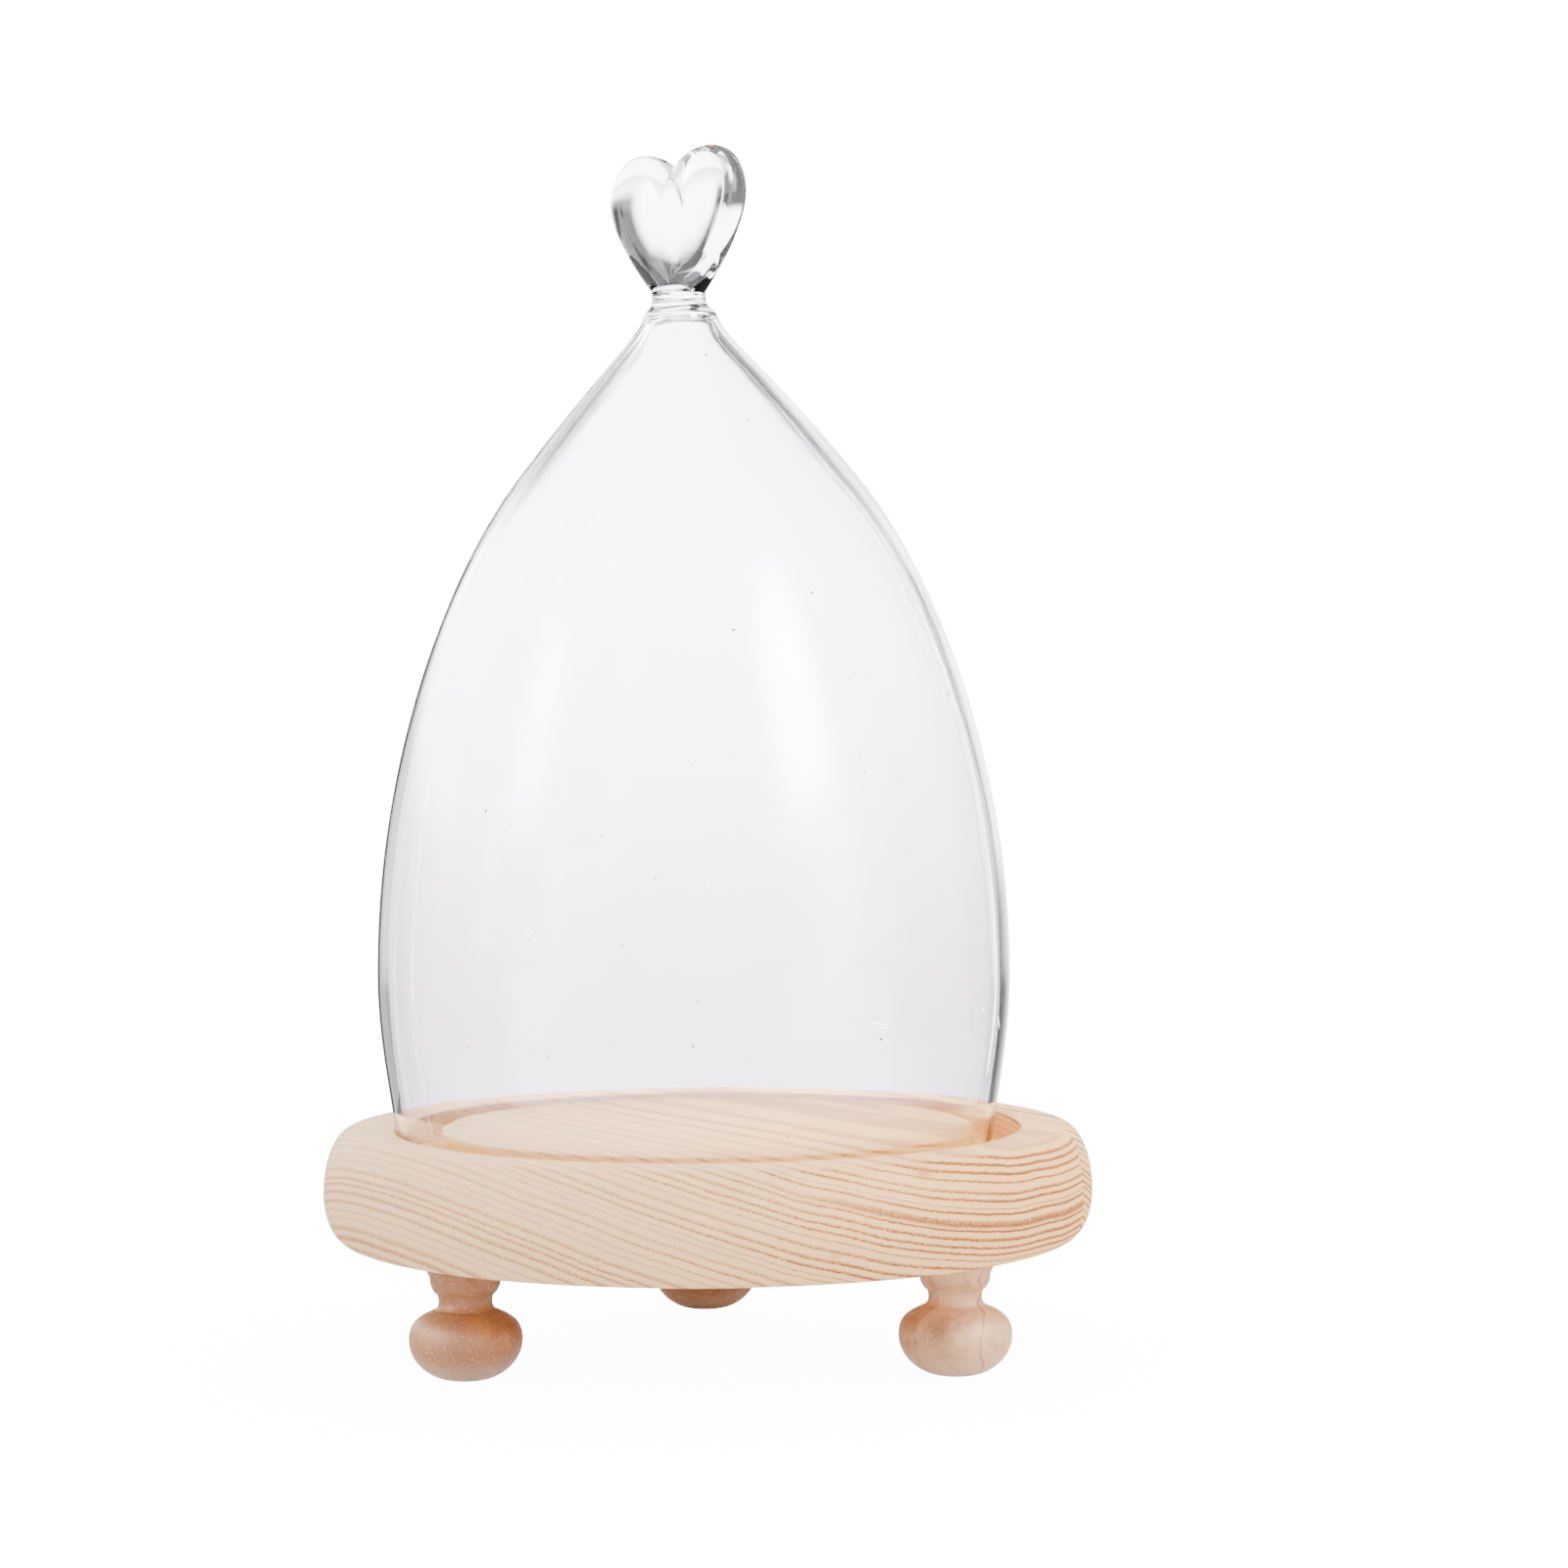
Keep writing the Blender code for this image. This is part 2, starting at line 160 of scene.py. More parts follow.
class BaseSettings(bpy.types.PropertyGroup):
    """Sizes and wood of the turned base."""

    edge_rise: a_length("Edge rise", "Height of the widest line over the underside", 7.0)
    arris: a_length("Arris", "Rounding of the sanded corners", 0.25, precision=5)
    glue_line: a_length("Glue line", "Width of the glued seam", 0.04, precision=6)
    steps: a_count("Steps", "Facets round the base", 256, 32)
    grain_turn: an_angle("Grain turn", "Turn of the board's grain about Z", 30.0)
    ring_spacing: a_length("Ring spacing", "Width of a growth ring", 1.12, precision=5)
    pale_wood: a_colour("Pale wood", "Early wood on the quiet side", (0.74, 0.475, 0.25))
    warm_wood: a_colour("Warm wood", "Early wood on the strongly marked side", (0.88, 0.48, 0.17))
    late_wood: a_colour("Late wood", "Dark line of a growth ring", (0.28, 0.075, 0.008))


class FootSettings(bpy.types.PropertyGroup):
    """Sizes and wood of the turned feet and their dowels."""

    ball_low: a_length("Ball height", "Widest line of the ball", 5.85)
    neck_radius: a_length("Neck radius", "Thinnest part of the foot", 4.0)
    neck_height: a_length("Neck height", "Height of the thinnest part", 11.5)
    bead_radius: a_length("Bead radius", "Bead over the neck", 5.25)
    bead_height: a_length("Bead height", "Height of the bead", 14.3)
    flange_radius: a_length("Flange radius", "Top of the foot", 7.1)
    flat_radius: a_length("Flat radius", "Flat that stands on the floor", 2.7)
    steps: a_count("Steps", "Facets round a foot", 96, 16)
    beech: a_colour("Beech", "Colour of the foot's wood", (0.30, 0.13, 0.055))
    dark_beech: a_colour("Dark beech", "Colour of the foot's darker patches", (0.22, 0.07, 0.018))
    flutes: a_count("Flutes", "Glue flutes round a dowel", 12, 3)
    flute_depth: a_length("Flute depth", "Depth of a glue flute", 0.18, precision=6)


class StageSettings(bpy.types.PropertyGroup):
    """The viewer's place and the strength of the studio's light."""

    distance: a_length("Distance", "Camera to the axis of the base", 553.0)
    aim_height: a_length("Aim height", "Height on the axis that the camera looks at", 91.85)
    tilt: an_angle("Tilt", "How far the camera looks down", 0.585)
    roll: an_angle("Roll", "Turn of the camera about its own axis", -0.449)
    lens: an_amount("Lens", "Focal length on a 36 mm sensor", 82.64)
    shift: FloatVectorProperty(
        name="Shift", description="Sideways and upward shift of the picture", default=(0.0507, -0.0189), size=2
    )
    backdrop: an_amount("Backdrop", "Brightness of the bare backdrop", 18.0)
    tent: an_amount("Tent", "Brightness behind the glass", 9.7)
    low_tent: an_amount("Low tent", "Brightness of the floor behind the glass", 4.5)
    roof: an_amount("Roof", "Brightness of the dark roof behind the glass", 0.14)
    mirrored_wall: an_amount("Mirrored wall", "Brightness of the room that the glass mirrors", 8.0)
    mirrored_floor: an_amount("Mirrored floor", "Brightness of the floor that the glass mirrors", 2.5)
    side_fill: an_amount("Side fill", "Light on the wood from the sides", 2.3)
    from_right: an_amount("From the right", "How much more light the right side gives", 0.3)
    gathered: an_amount("Gathered", "Extra light on the wood under the glass", 1.35)
    top_light: an_amount("Top light", "Light on the wood from above", 4.8)
    floor_glow: an_amount("Floor glow", "Brightness added to the floor in view", 13.0)
    floor_radius: a_length("Floor radius", "Size of the floor", 250.0)


class BellJarSettings(bpy.types.PropertyGroup):
    """All settings of the bell jar."""

    glass: PointerProperty(type=GlassSettings)
    base: PointerProperty(type=BaseSettings)
    foot: PointerProperty(type=FootSettings)
    stage: PointerProperty(type=StageSettings)


# ---- outlines and meshes -----------------------------------------------------------------------
def bezier(start, pull_start, pull_end, end, count):
    """Points of one cubic curve, without its first point."""
    t = np.linspace(0.0, 1.0, count + 1)[1:, None]
    near = 1.0 - t
    ends = [np.array(point, float) for point in (start, pull_start, pull_end, end)]
    curve = near**3 * ends[0] + 3 * near**2 * t * ends[1] + 3 * near * t**2 * ends[2] + t**3 * ends[3]
    return [tuple(point) for point in curve]


def arc(centre, radii, first, last, count):
    """Points of an elliptical arc between two angles in degrees, with both ends."""
    angles = np.radians(np.linspace(first, last, count + 1))
    return [(centre[0] + radii[0] * math.cos(a), centre[1] + radii[1] * math.sin(a)) for a in angles]


def spun(profile, steps):
    """Points and faces of a turned body. The (radius, height) profile starts and ends on the axis
    and runs down the outside."""
    rings = np.array(profile[1:-1], float)
    angles = np.linspace(0.0, 2 * math.pi, steps, endpoint=False)
    x = np.outer(rings[:, 0], np.cos(angles))
    y = np.outer(rings[:, 0], np.sin(angles))
    z = np.repeat(rings[:, 1:], steps, axis=1)
    body = np.stack([x, y, z], axis=2).reshape(-1, 3)
    points = np.vstack([body, [[0.0, 0.0, profile[0][1]], [0.0, 0.0, profile[-1][1]]]])
    top, bottom, last = len(body), len(body) + 1, (len(rings) - 1) * steps
    faces = []
    for ring in range(len(rings) - 1):
        for j in range(steps):
            k = (j + 1) % steps
            a = ring * steps
            faces.append((a + j, a + steps + j, a + steps + k, a + k))
    for j in range(steps):
        k = (j + 1) % steps
        faces.append((top, j, k))
        faces.append((bottom, last + k, last + j))
    return points, faces


def add_mesh(name, points, faces, material, sharp=None):
    """A new object with its place in its mesh, smooth apart from edges over the sharp angle."""
    old = bpy.data.objects.get(name)
    if old:
        bpy.data.objects.remove(old, do_unlink=True)
    mesh = bpy.data.meshes.new(name)
    mesh.from_pydata([tuple(point) for point in points], [], faces)
    mesh.update()
    return add_object(name, mesh, material, sharp)


def add_object(name, mesh, material, sharp=None):
    """Link a mesh as a smooth object with one material."""
    made = bpy.data.objects.new(name, mesh)
    bpy.context.scene.collection.objects.link(made)
    mesh.materials.clear()
    mesh.materials.append(material)
    mesh.shade_smooth()
    if sharp:
        mesh.set_sharp_from_angle(angle=sharp)
    return made


def boolean(piece, other, operation):
    """Unite a piece with another mesh, or cut it away, and drop the other one."""
    modifier = piece.modifiers.new("Join", "BOOLEAN")
    modifier.operation = operation
    modifier.solver = "EXACT"
    modifier.object = other
    flatten(piece)
    bpy.data.objects.remove(other, do_unlink=True)


def flatten(piece):
    """Turn the piece's modifiers into plain mesh."""
    graph = bpy.context.evaluated_depsgraph_get()
    graph.update()
    mesh = bpy.data.meshes.new_from_object(piece.evaluated_get(graph))
    mesh.name = piece.name
    piece.modifiers.clear()
    piece.data = mesh


def finish_piece(piece, body, slot, *nodes):
    """The piece moves with its body and stands for its nodes, which are hidden. The slot is not used."""
    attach(piece, body)
    if nodes:
        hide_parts(*nodes)


# ---- node wiring -------------------------------------------------------------------------------
class Wiring:
    """Adds nodes to one tree and wires them up."""

    def __init__(self, tree):
        self.tree = tree

    def feed(self, socket, value):
        """Link a socket, or set its own value."""
        if isinstance(value, bpy.types.NodeSocket):
            self.tree.links.new(value, socket)
        else:
            socket.default_value = value

    def node(self, kind, inputs=None, **settings):
        """Add a node, with its settings and inputs."""
        made = self.tree.nodes.new(kind)
        for key, value in settings.items():
            setattr(made, key, value)
        for key, value in (inputs or {}).items():
            self.feed(made.inputs[key], value)
        return made

    def math(self, operation, *values, clamp=False):
        """Result of one Math node."""
        made = self.node("ShaderNodeMath", dict(enumerate(values)), operation=operation, use_clamp=clamp)
        return made.outputs[0]

    def times(self, value, other, clamp=False):
        """Product of two values."""
        return self.math("MULTIPLY", value, other, clamp=clamp)

    def vector(self, operation, *values, output="Vector"):
        """Result of one Vector Math node."""
        made = self.node("ShaderNodeVectorMath", dict(enumerate(values)), operation=operation)
        return made.outputs[output]

    def ramp(self, value, low, high, to_low=0.0, to_high=1.0):
        """A smooth step of a value between two limits."""
        inputs = {"Value": value, "From Min": low, "From Max": high, "To Min": to_low, "To Max": to_high}
        made = self.node("ShaderNodeMapRange", inputs, interpolation_type="SMOOTHSTEP")
        return made.outputs["Result"]

    def mix(self, factor, low, high):
        """Mix of two colours."""
        return self.node("ShaderNodeMix", {0: factor, 6: low, 7: high}, data_type="RGBA").outputs[2]

    def lay(self, mask, share, below, over):
        """A colour laid over another by a share of a mask."""
        return self.mix(self.times(mask, share), below, over)

    def blend(self, factor, low, high):
        """Mix of two numbers."""
        return self.node("ShaderNodeMix", {0: factor, 2: low, 3: high}, data_type="FLOAT").outputs[0]

    def noise(self, vector, scale, detail=2.0, roughness=0.5):
        """Value of a noise texture, about 0.5."""
        inputs = {"Vector": vector, "Scale": scale, "Detail": detail, "Roughness": roughness}
        return self.node("ShaderNodeTexNoise", inputs).outputs[0]

    def parts(self, vector):
        """X, Y and Z of a vector."""
        return self.node("ShaderNodeSeparateXYZ", {0: vector}).outputs

    def group(self, tree, inputs):
        """Place a node group with its own values."""
        made = self.tree.nodes.new(self.tree.bl_idname.replace("Tree", "Group"))
        made.node_tree = tree
        for key, value in inputs.items():
            self.feed(made.inputs[key], value)
        return made.outputs


def new_group(name, inputs, outputs, kind="ShaderNodeTree"):
    """An empty group with named sockets, its wiring and its two end nodes."""
    tree = bpy.data.node_groups.new(name, kind)
    for label, socket_kind, *default in inputs:
        socket = tree.interface.new_socket(name=label, in_out="INPUT", socket_type=socket_kind)
        if default:
            socket.default_value = default[0]
    for label, socket_kind in outputs:
        tree.interface.new_socket(name=label, in_out="OUTPUT", socket_type=socket_kind)
    wiring = Wiring(tree)
    start = wiring.node("NodeGroupInput")
    end = wiring.node("NodeGroupOutput")
    return wiring, start.outputs, end.inputs


def shared_group(name, make):
    """The named group, built the first time it is asked for."""
    return bpy.data.node_groups.get(name) or make(name)


def new_material(name):
    """A material, its wiring and its Principled shader."""
    made = bpy.data.materials.get(name) or bpy.data.materials.new(name)
    made.use_nodes = True
    made.node_tree.nodes.clear()
    wiring = Wiring(made.node_tree)
    shader = wiring.node("ShaderNodeBsdfPrincipled")
    end = wiring.node("ShaderNodeOutputMaterial")
    made.node_tree.links.new(shader.outputs[0], end.inputs["Surface"])
    return made, wiring, shader


def rgba(tint):
    """A colour with its alpha."""
    return (*tint, 1.0)


FLOAT, VECTOR = "NodeSocketFloat", "NodeSocketVector"
WHOLE, GEOMETRY = "NodeSocketInt", "NodeSocketGeometry"


def make_growth_rings(name):
    """Rings round a pith line along Y, in millimetres: how dark the late wood is at a point."""
    wiring, given, result = new_group(
        name,
        [
            ("Vector", VECTOR),
            ("Pith", VECTOR, (28.0, 0.0, 175.0)),
            ("Spacing", FLOAT, 1.1),
            ("Waviness", FLOAT, 0.5),
            ("Wave Size", FLOAT, 12.0),
            ("Jitter", FLOAT, 0.1),
            ("Line Share", FLOAT, 0.35),
        ],
        [("Line", FLOAT), ("Distance", FLOAT)],
    )
    place = given["Vector"]
    slow = wiring.vector("MULTIPLY", place, (1.0, 0.2, 1.0))
    wave = wiring.noise(slow, wiring.math("DIVIDE", 1.0, given["Wave Size"]), detail=1.0)
    fine = wiring.noise(wiring.vector("MULTIPLY", place, (1.0, 0.12, 1.0)), 0.9, detail=3.0, roughness=0.6)
    away = wiring.vector("SUBTRACT", place, given["Pith"])
    flat = wiring.vector("MULTIPLY", away, (1.0, 0.0, 1.0))
    distance = wiring.vector("LENGTH", flat, output="Value")
    waved = wiring.math("MULTIPLY_ADD", wiring.math("SUBTRACT", wave, 0.5), given["Waviness"], distance)
    shaken = wiring.math("MULTIPLY_ADD", wiring.math("SUBTRACT", fine, 0.5), given["Jitter"], waved)
    count = wiring.math("DIVIDE", shaken, given["Spacing"])
    years = wiring.node("ShaderNodeTexNoise", {"W": count, "Scale": 0.37, "Detail": 1.0}, noise_dimensions="1D")
    uneven = wiring.math("MULTIPLY_ADD", years.outputs[0], 1.3, count)
    share = wiring.math("FRACT", uneven)
    ring = wiring.math("FLOOR", uneven)
    year = wiring.node("ShaderNodeTexWhiteNoise", {"W": ring}, noise_dimensions="1D").outputs["Value"]
    width = wiring.times(given["Line Share"], wiring.math("MULTIPLY_ADD", year, 0.8, 0.6))
    start = wiring.math("SUBTRACT", 0.96, width)
    full = wiring.math("MULTIPLY_ADD", width, -0.25, 0.96)
    rising = wiring.ramp(share, start, full)
    ending = wiring.ramp(share, 0.95, 1.0, 1.0, 0.0)
    strength = wiring.math("MULTIPLY_ADD", year, 0.55, 0.55)
    line = wiring.times(wiring.times(rising, ending), strength)
    wiring.feed(result["Line"], line)
    wiring.feed(result["Distance"], shaken)
    return wiring.tree


def make_wood_fibre(name):
    """Fine fibres along Y, in millimetres: streaks, pale glints and dark pores. The pine lays the glints on as a
    painted highlight, the beech as pale flecks.
    """
    wiring, given, result = new_group(
        name,
        [
            ("Vector", VECTOR),
            ("Fibre Width", FLOAT, 0.25),
            ("Fibre Length", FLOAT, 6.0),
            ("Glint Share", FLOAT, 0.12),
            ("Pore Share", FLOAT, 0.10),
        ],
        [("Streak", FLOAT), ("Glint", FLOAT), ("Pore", FLOAT)],
    )
    across = wiring.math("DIVIDE", 1.0, given["Fibre Width"])
    along = wiring.math("DIVIDE", 1.0, given["Fibre Length"])
    scale = wiring.node("ShaderNodeCombineXYZ", {0: across, 1: along, 2: across}).outputs[0]
    stretched = wiring.vector("MULTIPLY", given["Vector"], scale)
    streak = wiring.noise(stretched, 1.0, detail=3.0, roughness=0.65)
    other = wiring.vector("ADD", stretched, (31.7, 11.3, 5.9))
    speck = wiring.noise(other, 1.3, detail=1.0)
    glint = wiring.ramp(speck, wiring.math("SUBTRACT", 0.78, given["Glint Share"]), 0.80)
    pore = wiring.ramp(speck, wiring.math("ADD", 0.24, given["Pore Share"]), 0.20)
    wiring.feed(result["Streak"], streak)
    wiring.feed(result["Glint"], glint)
    wiring.feed(result["Pore"], pore)
    return wiring.tree


def make_spot(name):
    """A soft spot round a place, in millimetres."""
    wiring, given, result = new_group(
        name,
        [
            ("Vector", VECTOR),
            ("Place", VECTOR, (0.0, 0.0, 0.0)),
            ("Stretch", VECTOR, (1.0, 1.0, 1.0)),
            ("Radius", FLOAT, 1.0),
        ],
        [("Mask", FLOAT)],
    )
    away = wiring.vector("SUBTRACT", given["Vector"], given["Place"])
    ragged = wiring.math("MULTIPLY_ADD", wiring.noise(given["Vector"], 1.6, detail=2.0), 0.9, 0.55)
    reach = wiring.vector("LENGTH", wiring.vector("DIVIDE", away, given["Stretch"]), output="Value")
    wiring.feed(result["Mask"], wiring.ramp(wiring.times(reach, ragged), given["Radius"], 0.0))
    return wiring.tree


def grain_frame(wiring, turn=0.0, tip=0.0, offset=(0.0, 0.0, 0.0)):
    """Object coordinates in millimetres, turned so that the grain runs along Y."""
    place = wiring.node("ShaderNodeTexCoord").outputs["Object"]
    inputs = {"Vector": place, "Location": offset, "Rotation": (tip, 0.0, turn), "Scale": (1000.0,) * 3}
    return wiring.node("ShaderNodeMapping", inputs).outputs[0]


# ---- pine --------------------------------------------------------------------------------------
# Pin knots and resin flecks in the board: place and radius in millimetres.
PINE_KNOTS = (
    ((17.2, -55.5, 22.8), 1.1), ((30.7, -48.5, 33.5), 2.2), ((-15.0, -56.0, 21.8), 0.6),
    ((14.0, -20.0, 34.9), 0.8), ((-43.0, 37.0, 27.0), 1.6), ((8.0, 58.0, 24.0), 0.9),
)


def pine(name, base, turn, pith, spacing, marked, thick_ring):
    """Sanded pine: growth rings, fibres, specks and painted glints, with painted warm shade and bounce light inside
    the groove.

    marked is the range across the grain over which the rings get strong, and thick_ring the distance
    of one bold ring from the pith, in millimetres."""
    made, wiring, shader = new_material(name)
    place = grain_frame(wiring, turn=-turn)
    across, _, height = wiring.parts(place)
    rings = wiring.group(
        shared_group("growth rings", make_growth_rings),
        {"Vector": place, "Pith": pith, "Spacing": spacing / MM, "Waviness": 1.4, "Wave Size": 15.0,
         "Jitter": 0.34, "Line Share": 0.46},
    )
    fibres = wiring.group(
        shared_group("wood fibre", make_wood_fibre),
        {"Vector": place, "Fibre Width": 0.22, "Fibre Length": 5.0, "Glint Share": 0.10, "Pore Share": 0.08},
    )
    broad = wiring.noise(wiring.vector("MULTIPLY", place, (1.0, 0.15, 1.0)), 0.055, detail=2.0)
    marking = wiring.ramp(across, *marked)
    warmth = wiring.math("MULTIPLY_ADD", wiring.math("SUBTRACT", broad, 0.5), 0.8, marking, clamp=True)
    early = wiring.mix(warmth, rgba(base.pale_wood), rgba(base.warm_wood))
    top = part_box("base_board")[1].z / MM
    flat_top = wiring.ramp(height, top - 0.5, top - 0.1, 1.0, 0.5)
    quiet = wiring.times(wiring.math("MULTIPLY_ADD", marking, 0.72, 0.46), flat_top)
    broken = wiring.ramp(wiring.noise(place, 2.4, detail=2.0, roughness=0.7), 0.30, 0.62, 0.45, 1.0)
    bolder = wiring.times(wiring.times(rings["Line"], broken), 1.6)
    strength = wiring.times(bolder, quiet, clamp=True)
    late = rgba(base.late_wood)
    banded = wiring.mix(strength, early, late)
    bold = wiring.math("ABSOLUTE", wiring.math("SUBTRACT", rings["Distance"], thick_ring))
    bold = wiring.times(wiring.ramp(bold, 0.75, 0.30), wiring.ramp(across, -24.0, -4.0))
    banded = wiring.lay(wiring.times(bold, broken), 0.95, banded, late)
    streaked = wiring.lay(wiring.ramp(fibres["Streak"], 0.35, 0.75), 0.16, banded, wiring.mix(0.5, banded, late))
    # Painted highlight: pale glints along the fibres stand in for the silky sparkle of light on the wood.
    painted_glints = wiring.lay(fibres["Glint"], 0.5, streaked, (0.95, 0.84, 0.66, 1.0))
    pored = wiring.lay(fibres["Pore"], 0.25, painted_glints, late)
    for spot, radius in PINE_KNOTS:
        knot = wiring.group(
            shared_group("soft spot", make_spot),
            {"Vector": grain_frame(wiring), "Place": spot, "Stretch": (1.5, 1.0, 0.8), "Radius": radius},
        )
        pored = wiring.lay(knot["Mask"], 0.75, pored, (0.45, 0.14, 0.03, 1.0))
    # Painted shade and warm bounce light of the groove's recess, partly the darker colour of its end grain, laid
    # over the grain there.
    at_back = wiring.ramp(wiring.parts(grain_frame(wiring))[1], -5.0, 25.0)
    painted_groove_shade = wiring.mix(at_back, (0.90, 0.46, 0.10, 1.0), (0.80, 0.34, 0.13, 1.0))
    wiring.feed(shader.inputs["Base Color"], wiring.lay(groove_mask(wiring), 0.7, pored, painted_groove_shade))
    rough = wiring.math("MULTIPLY_ADD", fibres["Streak"], 0.2, 0.5)
    wiring.feed(shader.inputs["Roughness"], wiring.math("SUBTRACT", rough, wiring.times(strength, 0.1)))
    relief = wiring.math("MULTIPLY_ADD", rings["Line"], 0.6, fibres["Streak"])
    bump = wiring.node("ShaderNodeBump", {"Strength": 0.25, "Distance": 0.00006, "Height": relief})
    wiring.feed(shader.inputs["Normal"], bump.outputs[0])
    shader.inputs["Specular IOR Level"].default_value = 0.2
    return made


def groove_mask(wiring):
    """1 on the walls and floor of the ring groove, 0 elsewhere."""
    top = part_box("base_board")[1].z / MM
    inner, outer, _ = radii_at("base_board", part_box("base_board")[1].z)
    place = wiring.vector("SCALE", wiring.node("ShaderNodeTexCoord").outputs["Object"])
    place.node.inputs["Scale"].default_value = 1 / MM
    radius = wiring.vector("LENGTH", wiring.vector("MULTIPLY", place, (1.0, 1.0, 0.0)), output="Value")
    height = wiring.parts(place)[2]
    inside = wiring.times(
        wiring.ramp(radius, inner / MM - 0.3, inner / MM - 0.1),
        wiring.ramp(radius, outer / MM + 0.3, outer / MM + 0.1),
    )
    return wiring.times(inside, wiring.ramp(height, top - 0.2, top - 0.9))


def base_profile(base):
    """Plateau, groove, flat rim and rounded edge, from the top's middle to the underside's."""
    low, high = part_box("base_board")
    top, under = high.z, low.z
    plateau, groove, flat = radii_at("base_board", top)
    floor = max(z for z in {round(v.co.z, 5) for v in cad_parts["base_board"].data.vertices}
                if z < top - 3 * MM and z > under + base.edge_rise)
    flat_under = radii_at("base_board", under)[-1]
    widest = high.y
    small, rise = base.arris, under + base.edge_rise
    return [
        (0.0, top),
        (plateau * 0.5, top),
        *arc((plateau - small, top - small), (small, small), 90, 0, 4),
        *arc((plateau + small, floor + small), (small, small), 180, 270, 4),
        *arc((groove - small, floor + small), (small, small), 270, 360, 4),
        *arc((groove + small, top - small), (small, small), 180, 90, 4),
        *arc((flat, rise), (widest - flat, top - rise), 90, 0, 22),
        *arc((flat_under, rise), (widest - flat_under, rise - under), 0, -90, 18)[1:],
        (flat_under * 0.6, under),
        (0.0, under),
    ]


def half_of(points, faces, facing, distance, keep_far, name, material):
    """The part of the turned base on one side of the seam, closed at the cut."""
    mesh = bpy.data.meshes.new(name)
    mesh.from_pydata([tuple(point) for point in points], [], faces)
    shape = bmesh.new()
    shape.from_mesh(mesh)
    everything = shape.verts[:] + shape.edges[:] + shape.faces[:]
    normal = Vector((facing.x, facing.y, 0.0))
    bmesh.ops.bisect_plane(
        shape, geom=everything, plane_co=normal * distance, plane_no=normal,
        clear_inner=keep_far, clear_outer=not keep_far,
    )
    rim = [edge for edge in shape.edges if edge.is_boundary]
    bmesh.ops.triangle_fill(shape, edges=rim, use_beauty=True, use_dissolve=False)
    bmesh.ops.recalc_face_normals(shape, faces=shape.faces)
    shape.to_mesh(mesh)
    shape.free()
    return add_object(name, mesh, material, SHARP_WOOD)


def make_base(settings):
    """The glued and turned base: a wide board and a narrow stave along its right-hand edge."""
    base = settings.base
    facing, distance = seam_plane()
    points, faces = spun(base_profile(base), base.steps)
    turn, spacing = base.grain_turn, base.ring_spacing
    board_wood = pine("pine_board", base, turn, (28.0, 0.0, 175.0), spacing, (-50.0, 30.0), 150.4)
    stave_wood = pine("pine_stave", base, turn, (105.0, 0.0, 190.0), spacing * 0.9, (-60.0, 40.0), 0.0)
    gap = base.glue_line / 2
    board = half_of(points, faces, facing, distance - gap, False, "pine_board", board_wood)
    stave = half_of(points, faces, facing, distance + gap, True, "pine_edge_stave", stave_wood)
    for node in DOWELS:
        boolean(board, dowel_hole(node), "DIFFERENCE")
    board.data.set_sharp_from_angle(angle=SHARP_WOOD)
    finish_piece(board, "base", "pine", "base_board")
    finish_piece(stave, "base", "pine_stave", "base_edge_stave")


def dowel_hole(node):
    """A cutter for a dowel's blind hole in the underside of the base."""
    low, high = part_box(node)
    x, y = middle_of(node)
    radius = (high.x - low.x) / 2 + DOWEL_CLEARANCE
    top, under = high.z + DOWEL_CLEARANCE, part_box("base_board")[0].z - 1 * MM
    profile = [(0.0, top), (radius, top), (radius, under), (0.0, under)]
    points, faces = spun(profile, 24)
    return add_mesh("dowel_hole", points + [x, y, 0.0], faces, None)


# ---- feet and dowels ---------------------------------------------------------------------------
def foot_profile(foot, node):
    """Flange, cove, bead, neck and ball, with the dowel's hole down from the top."""
    low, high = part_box(node)
    dowel_low, dowel_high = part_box(node.replace("foot", "dowel"))
    ball = (high.x - low.x) / 2
    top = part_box("base_board")[0].z - 0.01 * MM
    hole = (dowel_high.x - dowel_low.x) / 2 + DOWEL_CLEARANCE
    hole_low = dowel_low.z - DOWEL_CLEARANCE
    flange, bead, bead_z = foot.flange_radius, foot.bead_radius, foot.bead_height
    neck, neck_z, ball_z = foot.neck_radius, foot.neck_height, foot.ball_low
    cove_top = (flange, top - 1.0 * MM)
    bead_top = (bead, bead_z + 0.35 * MM)
    step = 0.22 * MM
    return [
        (0.0, hole_low),
        (hole, hole_low),
        (hole, top),
        (flange - 0.2 * MM, top),
        (flange, top - 0.2 * MM),
        cove_top,
        *bezier(cove_top, (flange - 0.9 * MM, top - 1.7 * MM), (bead, bead_z + 1.2 * MM), bead_top, 8),
        *bezier(bead_top, (bead, bead_z - 0.5 * MM), (neck + 0.9 * MM, bead_z - 1.0 * MM),
                (neck + 0.55 * MM, bead_z - 1.5 * MM), 8),
        (neck + 0.55 * MM - step, bead_z - 1.58 * MM),
        *bezier((neck + 0.55 * MM - step, bead_z - 1.58 * MM), (neck, bead_z - 2.0 * MM),
                (neck, neck_z + 0.3 * MM), (neck, neck_z), 6),
        *bezier((neck, neck_z), (neck, neck_z - 0.6 * MM), (neck + 0.25 * MM, neck_z - 0.9 * MM),
                (neck + 0.55 * MM, neck_z - 1.2 * MM), 6),
        (neck + 0.72 * MM, neck_z - 1.24 * MM),
        *bezier((neck + 0.72 * MM, neck_z - 1.24 * MM), (ball * 0.80, neck_z - 2.2 * MM),
                (ball, ball_z + 2.9 * MM), (ball, ball_z), 18),
        *bezier((ball, ball_z), (ball, ball_z * 0.42), (foot.flat_radius + 2.5 * MM, 0.2 * MM),
                (foot.flat_radius, 0.0), 18),
        (0.0, 0.0),
    ]


